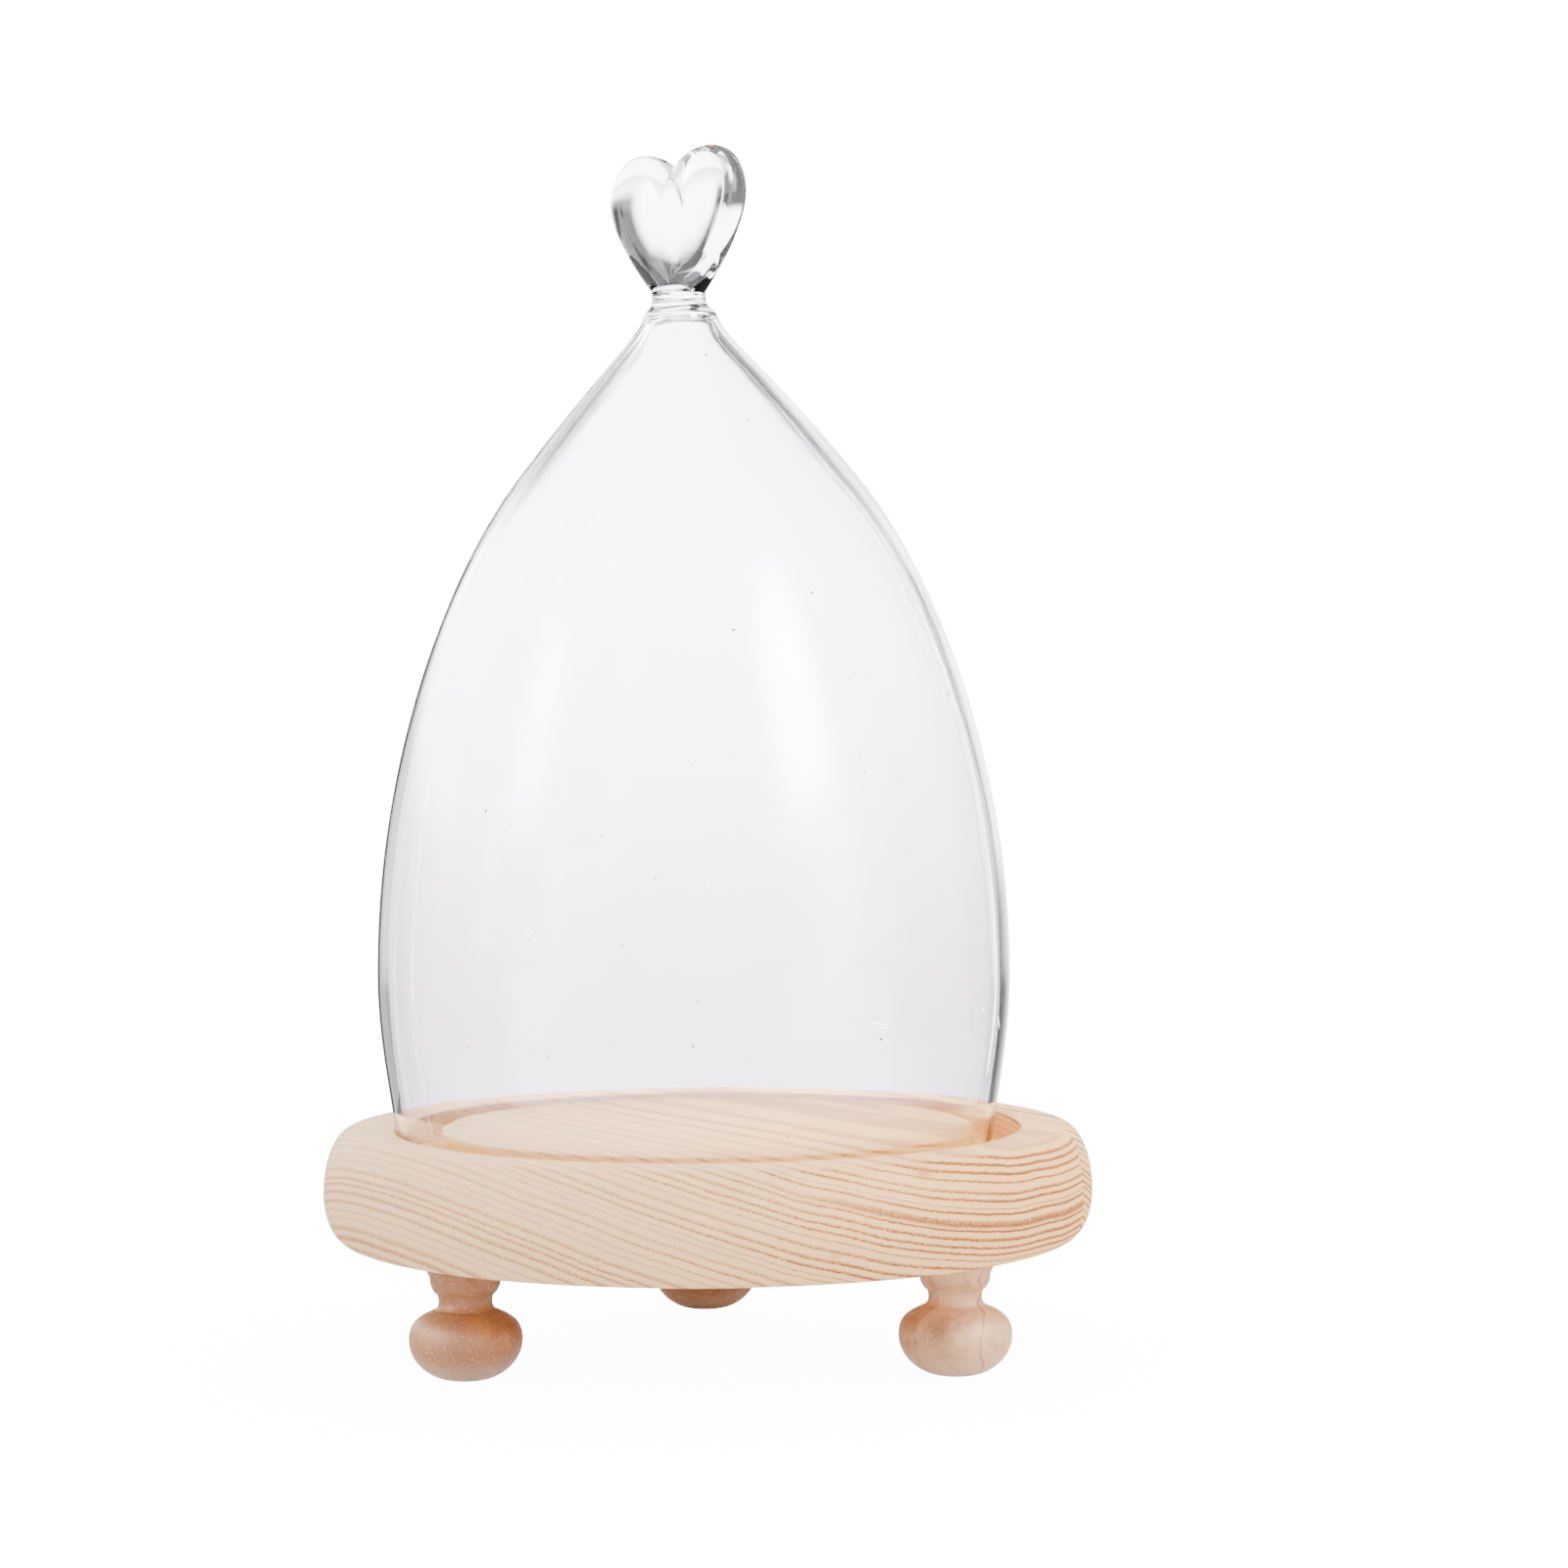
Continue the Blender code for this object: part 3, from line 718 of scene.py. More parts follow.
def beech(name, foot, knots, paleness=0.0, split=None):
    """Bare turned beech: dark patches, short flecks, faint upright lines and knots, and the wavy
    upright line of a split where its place is given."""
    made, wiring, shader = new_material(name)
    upright = grain_frame(wiring, tip=math.pi / 2)
    plain = grain_frame(wiring)
    fibres = wiring.group(
        shared_group("wood fibre", make_wood_fibre),
        {"Vector": upright, "Fibre Width": 0.20, "Fibre Length": 0.8, "Glint Share": 0.18, "Pore Share": 0.16},
    )
    rings = wiring.group(
        shared_group("growth rings", make_growth_rings),
        {"Vector": upright, "Pith": (-60.0, 0.0, 90.0), "Spacing": 3.4, "Waviness": 2.0, "Wave Size": 9.0,
         "Jitter": 0.2, "Line Share": 0.12},
    )
    patch = wiring.noise(wiring.vector("MULTIPLY", plain, (1.0, 1.0, 1.3)), 0.16, detail=3.0, roughness=0.6)
    height = wiring.parts(plain)[2]
    lower = wiring.ramp(height, 1.0, 5.5)
    dark = wiring.times(wiring.ramp(patch, 0.44, 0.68), lower)
    darkest = rgba(foot.dark_beech)
    tone = wiring.mix(paleness, rgba(foot.beech), (0.86, 0.52, 0.29, 1.0))
    warm = wiring.lay(dark, 0.8 - 0.4 * paleness, tone, darkest)
    pale = wiring.mix(wiring.ramp(height, 5.0, 0.5, 0.0, 0.45), warm, (0.70, 0.50, 0.37, 1.0))
    lined = wiring.lay(rings["Line"], 0.22, pale, darkest)
    for spot, radius, tint in knots:
        knot = wiring.group(
            shared_group("soft spot", make_spot),
            {"Vector": plain, "Place": spot, "Stretch": (1.0, 1.0, 1.2), "Radius": radius},
        )
        lined = wiring.lay(knot["Mask"], 0.8, lined, rgba(tint))
    if split is not None:
        x, y, _ = wiring.parts(plain)
        sway = wiring.math("MULTIPLY_ADD", wiring.noise(plain, 0.3, detail=1.0), 3.0, split - 1.5)
        off = wiring.math("ABSOLUTE", wiring.math("SUBTRACT", x, sway))
        front = wiring.math("LESS_THAN", y, middle_of("foot_front_right")[1] / MM)
        line = wiring.times(wiring.ramp(off, 0.22, 0.04), front)
        lined = wiring.lay(line, 0.6, lined, darkest)
    streaked = wiring.lay(fibres["Pore"], 0.5, lined, darkest)
    wiring.feed(shader.inputs["Base Color"], wiring.lay(fibres["Glint"], 0.6, streaked, (0.90, 0.66, 0.44, 1.0)))
    wiring.feed(shader.inputs["Roughness"], wiring.math("MULTIPLY_ADD", fibres["Streak"], 0.25, 0.42))
    bump = wiring.node("ShaderNodeBump", {"Strength": 0.2, "Distance": 0.00005, "Height": fibres["Streak"]})
    wiring.feed(shader.inputs["Normal"], bump.outputs[0])
    shader.inputs["Specular IOR Level"].default_value = 0.4
    return made


def make_feet(settings):
    """Three turned feet under the base."""
    foot = settings.foot
    orange, brown = (0.42, 0.16, 0.05), (0.24, 0.10, 0.04)
    knots = {
        "foot_front_left": [((-36.5, -29.5, 7.0), 6.0, brown), ((-33.0, -28.5, 9.5), 4.0, orange),
                            ((-29.5, -27.0, 6.5), 2.8, orange)],
        "foot_front_right": [((28.6, -25.5, 6.2), 1.1, orange), ((33.5, -28.5, 7.5), 4.0, brown)],
        "foot_back": [((0.0, 35.0, 7.0), 3.0, brown)],
    }
    for node in FEET:
        x, y = middle_of(node)
        points, faces = spun(foot_profile(foot, node), foot.steps)
        pale, split = (0.62, x / MM + 3.6) if node == "foot_front_right" else (0.0, None)
        wood = beech(f"beech_{node}", foot, knots[node], pale, split)
        piece = add_mesh(f"turned_{node}", points + [x, y, 0.0], faces, wood, SHARP_FOOT)
        finish_piece(piece, "base", "foot_beech", node)


def finish_tree(wiring, result, spread, material):
    """Make the spread copies real and give them their material."""
    solid = wiring.node("GeometryNodeRealizeInstances", {"Geometry": spread.outputs[0]})
    done = wiring.node("GeometryNodeSetMaterial", {"Geometry": solid.outputs[0], "Material": material})
    wiring.feed(result["Geometry"], done.outputs[0])
    return wiring.tree


def dowel_tree(material):
    """Geometry nodes: a fluted pin with chamfered ends on each point."""
    wiring, given, result = new_group(
        "fluted dowels",
        [("Geometry", GEOMETRY), ("Radius", FLOAT), ("Length", FLOAT), ("Flute Depth", FLOAT), ("Flutes", WHOLE)],
        [("Geometry", GEOMETRY)],
        "GeometryNodeTree",
    )
    corners = wiring.times(given["Flutes"], 8.0)
    circle = wiring.node("GeometryNodeCurvePrimitiveCircle", {"Resolution": corners, "Radius": given["Radius"]})
    place = wiring.node("GeometryNodeInputPosition").outputs[0]
    x, y, _ = wiring.parts(place)
    wave = wiring.math("COSINE", wiring.times(wiring.math("ARCTAN2", y, x), given["Flutes"]))
    dip = wiring.times(wiring.math("MULTIPLY_ADD", wave, 0.5, 0.5), given["Flute Depth"])
    share = wiring.math("SUBTRACT", 1.0, wiring.math("DIVIDE", dip, given["Radius"]))
    scaled = wiring.node("ShaderNodeVectorMath", {0: place, "Scale": share}, operation="SCALE").outputs[0]
    fluted = wiring.node("GeometryNodeSetPosition", {"Geometry": circle.outputs[0], "Position": scaled})
    end = wiring.node("ShaderNodeCombineXYZ", {2: given["Length"]}).outputs[0]
    line = wiring.node("GeometryNodeCurvePrimitiveLine", {"End": end})
    spaced = wiring.node("GeometryNodeResampleCurve", {"Curve": line.outputs[0], "Count": 24})
    ends = wiring.node("GeometryNodeCurveEndpointSelection", {"Start Size": 1, "End Size": 1})
    slim = wiring.node(
        "GeometryNodeSetCurveRadius", {"Curve": spaced.outputs[0], "Selection": ends.outputs[0], "Radius": 0.78}
    )
    pin = wiring.node(
        "GeometryNodeCurveToMesh",
        {"Curve": slim.outputs[0], "Profile Curve": fluted.outputs[0], "Fill Caps": True},
    )
    points = wiring.node("GeometryNodeMeshToPoints", {"Mesh": given["Geometry"]})
    spread = wiring.node(
        "GeometryNodeInstanceOnPoints", {"Points": points.outputs[0], "Instance": pin.outputs[0]}
    )
    return finish_tree(wiring, result, spread, material)


def run_tree(piece, tree, values):
    """Run geometry nodes on a piece with its named values, and keep the result as plain mesh."""
    modifier = piece.modifiers.new("Nodes", "NODES")
    modifier.node_group = tree
    for item in tree.interface.items_tree:
        if item.item_type == "SOCKET" and item.in_out == "INPUT" and item.name in values:
            modifier[item.identifier] = values[item.name]
    flatten(piece)


def make_dowels(settings):
    """The glued pins that hold the feet: fluted, with chamfered ends."""
    foot = settings.foot
    wood = beech("beech_dowel", foot, [])
    low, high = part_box(DOWELS[0])
    starts = [(*middle_of(node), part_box(node)[0].z) for node in DOWELS]
    piece = add_mesh("fluted_dowels", starts, [], wood)
    values = {
        "Radius": (high.x - low.x) / 2,
        "Length": high.z - low.z,
        "Flute Depth": foot.flute_depth,
        "Flutes": foot.flutes,
    }
    run_tree(piece, dowel_tree(wood), values)
    piece.data.shade_smooth()
    piece.data.set_sharp_from_angle(angle=SHARP_WOOD)
    finish_piece(piece, "base", "dowel_beech", *DOWELS)


# ---- glass -------------------------------------------------------------------------------------
def lean_at(glass, height):
    """Sideways draw of the glass at a height: nothing over the body, most at the knob."""
    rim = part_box("glass_dome")[0].z
    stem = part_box("heart_knob")[0].z
    share = np.clip((height - rim) / (stem - rim), 0.0, 1.0)
    return -glass.lean * share**7


def bell_outline(glass):
    """Outside of the bell from the rim to the foot of the collar."""
    low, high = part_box("glass_dome")
    rim_z, neck_z = low.z, high.z
    belly_radius = (high.y - low.y) / 2
    rim = (belly_radius - glass.rim_tuck, rim_z)
    belly = (belly_radius, rim_z + glass.belly_height)
    cone = (glass.cone_radius, neck_z - glass.cone_drop)
    neck = (glass.neck_radius, neck_z)
    rim_pull = (rim[0] + 12.0 * MM * math.sin(glass.rim_slope), rim[1] + 12.0 * MM * math.cos(glass.rim_slope))
    along = (-math.sin(glass.cone_slope), math.cos(glass.cone_slope))
    cone_down = (cone[0] - 16.5 * MM * along[0], cone[1] - 16.5 * MM * along[1])
    cone_up = (cone[0] + 22.0 * MM * along[0], cone[1] + 22.0 * MM * along[1])
    return [
        rim,
        *bezier(rim, rim_pull, (belly[0], belly[1] - 9.4 * MM), belly, 22),
        *bezier(belly, (belly[0], belly[1] + 34.0 * MM), cone_down, cone, 44),
        *bezier(cone, cone_up, (neck[0], neck[1] - 3.0 * MM), neck, 30),
    ]


def inside_of(glass, outer, ceiling):
    """Inside of the bell, from the rim up to where the ceiling begins."""
    inner = []
    neck_z = outer[-1][1]
    for before, here, after in zip(outer, outer[1:], outer[2:]):
        run, rise = after[0] - before[0], after[1] - before[1]
        length = math.hypot(run, rise)
        up = min(1.0, max(0.0, (here[1] - (neck_z - 40 * MM)) / (30 * MM)))
        down = min(1.0, max(0.0, (outer[0][1] + 6 * MM - here[1]) / (6 * MM)))
        wall = glass.wall + (glass.shoulder_wall - glass.wall) * up * up * (3 - 2 * up)
        wall += (glass.rim_wall - glass.wall) * down * down * (3 - 2 * down)
        point = (here[0] - wall * rise / length, here[1] + wall * run / length)
        if point[1] < ceiling - 1.6 * MM and point[0] > glass.ceiling_radius + 1.4 * MM:
            inner.append(point)
    return inner


def glass_profile(glass):
    """Stem, collar, outside, rim, inside and ceiling."""
    outer = bell_outline(glass)
    neck_z = outer[-1][1]
    rim_z = outer[0][1]
    ceiling = neck_z - glass.ceiling_depth
    stem = glass.stem_radius
    top = neck_z + 4.4 * MM
    collar = neck_z + 2.4 * MM
    crown = arc((stem - 0.8 * MM, top - 0.8 * MM), (0.8 * MM, 0.8 * MM), 90, 0, 8)
    waist = stem - 0.1 * MM
    shank = bezier(
        (stem, top - 0.8 * MM), (waist, collar + 0.8 * MM), (waist, collar + 0.4 * MM), (stem, collar), 10
    )
    flare = bezier(shank[-1], (stem + 0.15 * MM, collar - 0.8 * MM),
                   (glass.neck_radius - 0.75 * MM, neck_z + 0.75 * MM), outer[-1], 12)
    half = glass.rim_wall / 2
    rim_arc = arc((outer[0][0] - half, rim_z + half), (half, half), 0, -180, 12)
    outside = [point for point in reversed(outer[:-1]) if point[1] > rim_z + half]
    inner = [point for point in inside_of(glass, outer, ceiling) if point[1] > rim_z + half]
    last = inner[-1]
    before = inner[-2]
    pull = (last[0] + (last[0] - before[0]) * 1.5, last[1] + (last[1] - before[1]) * 1.5)
    bend = bezier(last, pull, (glass.ceiling_radius + 0.8 * MM, ceiling), (glass.ceiling_radius, ceiling), 12)
    return [(0.0, top), (stem * 0.5, top), *crown, *shank, *flare, *outside, *rim_arc, *inner, *bend,
            (glass.ceiling_radius * 0.5, ceiling + 0.08 * MM), (0.0, ceiling + 0.1 * MM)]


def blown(glass, points, neck_z):
    """The uneven wall of blown glass, the drawn neck and the slightly crooked collar."""
    shaped = points.copy()
    for index, (x, y, z) in enumerate(points):
        radius = math.hypot(x, y)
        if radius < 1e-6:
            continue
        slow = noise.noise(Vector((x * 28, y * 28, z * 22)))
        long = noise.noise(Vector((x * 90, y * 90, z * 9 + 5)))
        push = glass.waviness * (slow + 0.35 * long)
        near = math.exp(-(((z - neck_z - 1.5 * MM) / (3.5 * MM)) ** 2))
        push += near * 0.22 * MM * noise.noise(Vector((x * 260, y * 260, z * 420)))
        push += near * 0.16 * MM * math.sin(math.atan2(y, x) * 2 + z * 900)
        shaped[index, 0] += x / radius * push
        shaped[index, 1] += y / radius * push
        shaped[index, 2] += near * 0.05 * x
    shaped[:, 0] += lean_at(glass, points[:, 2])
    return shaped


def heart_outline(glass):
    """Outline of the heart, from the notch round the right lobe, the stem and the left lobe."""
    top, half = glass.heart_height, glass.heart_width / 2
    notch = (0.0, top - glass.heart_cleft)
    crown = (half * 0.52, top)
    side = (half, top * 0.69)
    foot = (glass.stem_radius * 0.90, 0.0)
    lobe = bezier(notch, (half * 0.08, top - glass.heart_cleft * 0.4), (half * 0.26, top), crown, 14)
    cheek = bezier(crown, (half * 0.80, top), (half, top * 0.86), side, 16)
    flank = bezier(side, (half, top * 0.47), (half * 0.62, top * 0.19), foot, 24)
    under = [(foot[0] * share, 0.0) for share in (0.66, 0.33, 0.0)]
    right = [notch, *lobe, *cheek, *flank, *under]
    return right + [(-across, height) for across, height in reversed(right[1:-1])]


def heart_mesh(glass):
    """A pillow: smaller and smaller copies of the outline, front and back, with rippled sides."""
    outline = np.array(heart_outline(glass))
    middle = np.array((0.0, glass.heart_height * 0.52))
    angles = np.radians(np.linspace(0.0, 180.0, 61))[1:-1]
    count = len(outline)
    points = []
    for angle in angles:
        share = math.sin(angle)
        side = -1.0 if angle < math.pi / 2 else 1.0
        depth = side * glass.heart_thickness / 2 * max(0.0, 1.0 - share**glass.heart_edge) ** (1 / glass.heart_edge)
        ring = middle + share * (outline - middle)
        for across, height in ring:
            points.append((across, depth, height))
    pole = glass.heart_thickness / 2
    points += [(middle[0], -pole, middle[1]), (middle[0], pole, middle[1])]
    front, back, last = len(points) - 2, len(points) - 1, (len(angles) - 1) * count
    faces = []
    for ring in range(len(angles) - 1):
        for j in range(count):
            k = (j + 1) % count
            a = ring * count
            faces.append((a + j, a + k, a + count + k, a + count + j))
    for j in range(count):
        k = (j + 1) % count
        faces.append((front, k, j))
        faces.append((back, last + j, last + k))
    return np.array(points), faces


def worked(glass, points):
    """The heart's uneven, hand-worked glass and its lower left lobe."""
    shaped = points.copy()
    top = glass.heart_height
    for index, (x, y, z) in enumerate(points):
        up = min(1.0, max(0.0, z / top))
        shaped[index, 2] -= glass.heart_skew * up * (0.5 - x / glass.heart_width * 1.06)
        ripple = noise.noise(Vector((x * 170, y * 520, z * 170)))
        edge = 1.0 - abs(y) / (glass.heart_thickness / 2)
        out = Vector((x, 0.0, z - top * 0.52))
        if out.length > 1e-6:
            out.normalize()
            shaped[index, 0] += out.x * ripple * 0.16 * MM * edge
            shaped[index, 2] += out.z * ripple * 0.10 * MM * edge * (1.0 - up)
    return shaped


def clear_glass(name, glass):
    """Clear glass with a painted dark outline where it is seen edge on, and faint smears and draw marks."""
    made, wiring, shader = new_material(name)
    facing = wiring.node("ShaderNodeLayerWeight", {"Blend": 0.5}).outputs["Facing"]
    edge = wiring.ramp(facing, 0.80, 1.0)
    tint = wiring.mix(edge, rgba(glass.body_tint), rgba(glass.painted_edge_shade))
    wiring.feed(shader.inputs["Base Color"], tint)
    place = grain_frame(wiring)
    smear = wiring.noise(wiring.vector("MULTIPLY", place, (1.0, 1.0, 0.25)), 0.12, detail=3.0)
    wiring.feed(shader.inputs["Roughness"], wiring.ramp(smear, 0.52, 0.75, 0.0, 0.012))
    draw = wiring.noise(wiring.vector("MULTIPLY", place, (1.0, 1.0, 0.06)), 0.20, detail=2.0)
    bump = wiring.node("ShaderNodeBump", {"Strength": 0.15, "Distance": 0.0002, "Height": draw})
    wiring.feed(shader.inputs["Normal"], bump.outputs[0])
    shader.inputs["IOR"].default_value = 1.5
    shader.inputs["Metallic"].default_value = 0.0
    shader.inputs["Transmission Weight"].default_value = 1.0
    return made


def make_glass(settings):
    """The bell, drawn up into a solid neck, and the heart that is fused to it, as one glass body."""
    glass = settings.glass
    material = clear_glass("clear_glass", glass)
    dome_x = middle_of("glass_dome")[0]
    neck_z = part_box("glass_dome")[1].z
    points, faces = spun(glass_profile(glass), glass.steps)
    points = blown(glass, points, neck_z) + [dome_x, 0.0, 0.0]
    bell = add_mesh("glass_bell", points, faces, material)
    bubble = arc((0.0, 0.0), (glass.weld_bubble, glass.weld_bubble * 0.12), 90, -90, 24)
    points, faces = spun([(0.0, bubble[0][1]), *bubble[1:-1], (0.0, bubble[-1][1])], 64)
    weld = Vector((dome_x - glass.lean * 0.97, 0.0, neck_z + 1.45 * MM))
    for index, (x, y, z) in enumerate(points):
        stir = noise.noise(Vector((x * 500, y * 500, z * 900)))
        points[index] = (x * (1 + 0.05 * stir), y * (1 + 0.05 * stir), z + stir * 0.22 * MM + 0.04 * x)
    cavity = add_mesh("weld_bubble", points + np.array(weld), faces, material)
    boolean(bell, cavity, "DIFFERENCE")
    heart_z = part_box("heart_knob")[1].z - glass.heart_height
    points, faces = heart_mesh(glass)
    points = worked(glass, points)
    points += [0.0, 0.0, heart_z]
    turn = np.array(Matrix.Rotation(glass.heart_turn, 3, "Z"))
    points = points @ turn.T + [dome_x - glass.lean, 0.0, 0.0]
    heart = add_mesh("heart", points, faces, material)
    boolean(bell, heart, "UNION")
    bell.data.shade_smooth()
    bell.data.set_sharp_from_angle(angle=SHARP_GLASS)
    finish_piece(bell, "dome", "dome_glass", "glass_dome", "neck_collar", "heart_knob")


def seed_tree(material):
    """Geometry nodes: tiny bubbles strewn over a surface."""
    wiring, given, result = new_group(
        "glass seeds",
        [("Geometry", GEOMETRY), ("Density", FLOAT), ("Radius", FLOAT), ("Seed", WHOLE)],
        [("Geometry", GEOMETRY)],
        "GeometryNodeTree",
    )
    strewn = wiring.node(
        "GeometryNodeDistributePointsOnFaces",
        {"Mesh": given["Geometry"], "Density": given["Density"], "Seed": given["Seed"]},
    )
    chance = wiring.node("FunctionNodeRandomValue", {"Seed": given["Seed"]}, data_type="FLOAT").outputs[1]
    size = wiring.math("MULTIPLY_ADD", wiring.math("POWER", chance, 3.0), 0.65, 0.35)
    scale = wiring.times(size, given["Radius"])
    bubble = wiring.node("GeometryNodeMeshIcoSphere", {"Radius": 1.0, "Subdivisions": 2})
    spread = wiring.node(
        "GeometryNodeInstanceOnPoints",
        {"Points": strewn.outputs["Points"], "Instance": bubble.outputs[0], "Rotation": strewn.outputs["Rotation"],
         "Scale": scale},
    )
    return finish_tree(wiring, result, spread, material)


def painted_seed_specks():
    """Dark and bright specks for tiny bubbles: painted shade and a painted highlight, not a colour the glass has.
    """
    made, wiring, shader = new_material("glass_seed")
    place = grain_frame(wiring)
    kind = wiring.ramp(wiring.noise(place, 0.35, detail=0.0), 0.52, 0.60)
    # Painted shade or painted highlight of each bubble, chosen by noise.
    wiring.feed(shader.inputs["Base Color"], wiring.mix(kind, (0.10, 0.09, 0.11, 1.0), (0.95, 0.95, 0.97, 1.0)))
    shader.inputs["Roughness"].default_value = 0.15
    return made


def painted_scratch_glow():
    """The glint of a fine scratch, painted: a white colour and a glow of its own stand in for the light it catches.
    """
    made, wiring, shader = new_material("glass_scratch_painted_glow")
    glint = wiring.noise(grain_frame(wiring), 0.8, detail=1.0)
    wiring.feed(shader.inputs["Base Color"], wiring.mix(glint, (0.80, 0.80, 0.82, 1.0), (1.0, 1.0, 1.0, 1.0)))
    wiring.feed(shader.inputs["Roughness"], wiring.math("MULTIPLY_ADD", glint, 0.2, 0.2))
    # Painted highlight: the scratch glows, though it is no lamp.
    shader.inputs["Emission Color"].default_value = (1.0, 1.0, 1.0, 1.0)
    shader.inputs["Emission Strength"].default_value = 7.0
    return made


# Hairline marks on the glass: angle round from the front to the right, height over the rim, length, tilt.
HAIRLINES = (
    (-29.0, 36.9, 2.9, -24.0), (-28.4, 36.0, 2.6, -22.0), (-27.6, 35.2, 1.6, -26.0), (-52.0, 26.0, 1.4, -20.0),
    (33.2, 23.0, 3.2, -10.0), (34.5, 22.3, 2.2, -14.0), (62.0, 23.5, 2.0, -50.0), (71.0, 21.0, 2.6, -58.0),
)


def make_marks(settings):
    """Seeds in the glass and a few hairline scratches, which move with the bell."""
    glass = settings.glass
    dome_x = middle_of("glass_dome")[0]
    outer = [point for index, point in enumerate(bell_outline(glass)) if index % 4 == 0]
    points, faces = spun([(0.0, outer[-1][1]), *reversed(outer), (0.0, outer[0][1])], 48)
    walls = [face for face in faces if len(face) == 4]
    speck = painted_seed_specks()
    seeds = add_mesh("glass_seeds", (points + [dome_x, 0.0, 0.0]), walls, speck)
    values = {"Density": glass.seed_density, "Radius": glass.seed_radius, "Seed": 11}
    run_tree(seeds, seed_tree(speck), values)
    seeds.data.shade_smooth()
    finish_piece(seeds, "dome", "dome_glass")

    heights = [point[1] for point in bell_outline(glass)]
    radii = [point[0] for point in bell_outline(glass)]
    corners, sides = [], []
    for turn, height, length, tilt in HAIRLINES:
        angle = math.radians(turn) - math.pi / 2
        rise = heights[0] + height * MM
        for step in range(9):
            share = (step / 8 - 0.5) * length * MM
            z = rise + share * math.sin(math.radians(tilt))
            radius = float(np.interp(z, heights, radii))
            a = angle + share * math.cos(math.radians(tilt)) / radius
            thick = 0.08 * MM * (1 - (2 * step / 8 - 1) ** 2) + 0.005 * MM
            for out, up in ((0.0, -thick), (thick * 0.8, 0.0), (0.0, thick)):
                far = radius + out - 0.01 * MM
                corners.append((dome_x + far * math.cos(a), far * math.sin(a), z + up))
        base = len(corners) - 27
        for step in range(8):
            for j in range(3):
                k = (j + 1) % 3
                sides.append((base + step * 3 + j, base + step * 3 + 3 + j, base + step * 3 + 3 + k,
                              base + step * 3 + k))
        sides += [(base, base + 1, base + 2), (base + 26, base + 25, base + 24)]
    scratches = add_mesh("glass_hairlines", corners, sides, painted_scratch_glow())
    finish_piece(scratches, "dome", "dome_glass")


# ---- stage -------------------------------------------------------------------------------------
def make_soft_panel(name):
    """A soft-edged panel of light: how much of it is seen in a direction, in radians."""
    wiring, given, result = new_group(
        name,
        [("Azimuth", FLOAT, 0.0), ("Elevation", FLOAT, 0.0), ("Panel Azimuth", FLOAT, 0.0),
         ("Panel Elevation", FLOAT, 0.0), ("Half Width", FLOAT, 0.2), ("Half Height", FLOAT, 0.2),
         ("Edge", FLOAT, 0.05)],
        [("Mask", FLOAT)],
    )
    turned = wiring.math("WRAP", wiring.math("SUBTRACT", given["Azimuth"], given["Panel Azimuth"]),
                         math.pi, -math.pi)
    raised = wiring.math("SUBTRACT", given["Elevation"], given["Panel Elevation"])
    masks = []
    for offset, half in ((turned, given["Half Width"]), (raised, given["Half Height"])):
        far = wiring.math("ADD", half, given["Edge"])
        masks.append(wiring.ramp(wiring.math("ABSOLUTE", offset), far, half))
    wiring.feed(result["Mask"], wiring.times(*masks))
    return wiring.tree


# Panels round the object as the glass mirrors them: azimuth from straight behind the object to the
# right, elevation, half width, half height and soft edge in degrees, and brightness. Later ones win.
PANELS = {
    "dark right wall": (62.0, 0.0, 32.0, 68.0, 12.0, 0.3),
    "dark left wall": (-56.0, -34.0, 34.0, 40.0, 8.0, 0.3),
    "left edge": (-27.0, 0.0, 8.0, 60.0, 4.0, 1.9),
    "dark left gap": (-14.0, 20.0, 4.0, 60.0, 3.0, 0.2),
    "left softbox": (-88.0, 34.0, 62.0, 20.0, 10.0, 13.0),
    "roof flag": (5.0, 52.0, 36.0, 24.0, 12.0, 0.4),
    "bright slit": (4.0, 5.0, 8.5, 16.0, 7.0, 6.5),
    "right streak": (39.0, 14.0, 0.7, 24.0, 0.8, 15.0),
    "second streak": (46.0, 24.0, 0.5, 14.0, 0.8, 9.0),
    "right glow": (132.0, -2.0, 2.0, 14.0, 15.0, 12.0),
    "left glow": (-120.0, -2.0, 2.0, 14.0, 15.0, 10.0),
    "window": (134.0, 32.0, 3.0, 5.0, 17.0, 160.0),
    "left window": (-113.0, 25.0, 2.0, 4.0, 13.0, 85.0),
}
# The same for what is seen through solid glass, such as the heart and the neck.
SOLID_PANELS = {
    "right wall": (52.0, 34.0, 36.0, 28.0, 9.0, 0.12),
    "left wall": (-62.0, 34.0, 34.0, 28.0, 9.0, 0.12),
    "left strip": (-44.0, 4.0, 5.0, 34.0, 3.0, 9.0),
    "far left strip": (-70.0, 10.0, 2.0, 34.0, 3.0, 7.0),
}
# And for what is mirrored inside the solid glass.
INNER_PANELS = {
    "low": (-110.0, -44.0, 66.0, 36.0, 8.0, 0.25),
    "under": (0.0, -11.0, 40.0, 6.0, 2.0, 0.12),
    "first bar": (-86.0, 22.0, 7.0, 60.0, 5.0, 0.12),
    "second bar": (-112.0, 22.0, 8.0, 60.0, 4.0, 0.12),
    "third bar": (-138.0, 22.0, 5.0, 60.0, 4.0, 0.3),
    "right bar": (96.0, 22.0, 12.0, 60.0, 8.0, 0.15),
}


# Elevations between which one brightness goes over into the next.
HORIZON = (math.radians(-5.6), math.radians(3.6))
ROOF_EDGE = (math.radians(11), math.radians(19))
FLOOR_EDGE = (math.radians(-7), math.radians(-10))
SKIRTING = (math.radians(-2), math.radians(1))
OVERHEAD = (math.radians(5), math.radians(65))


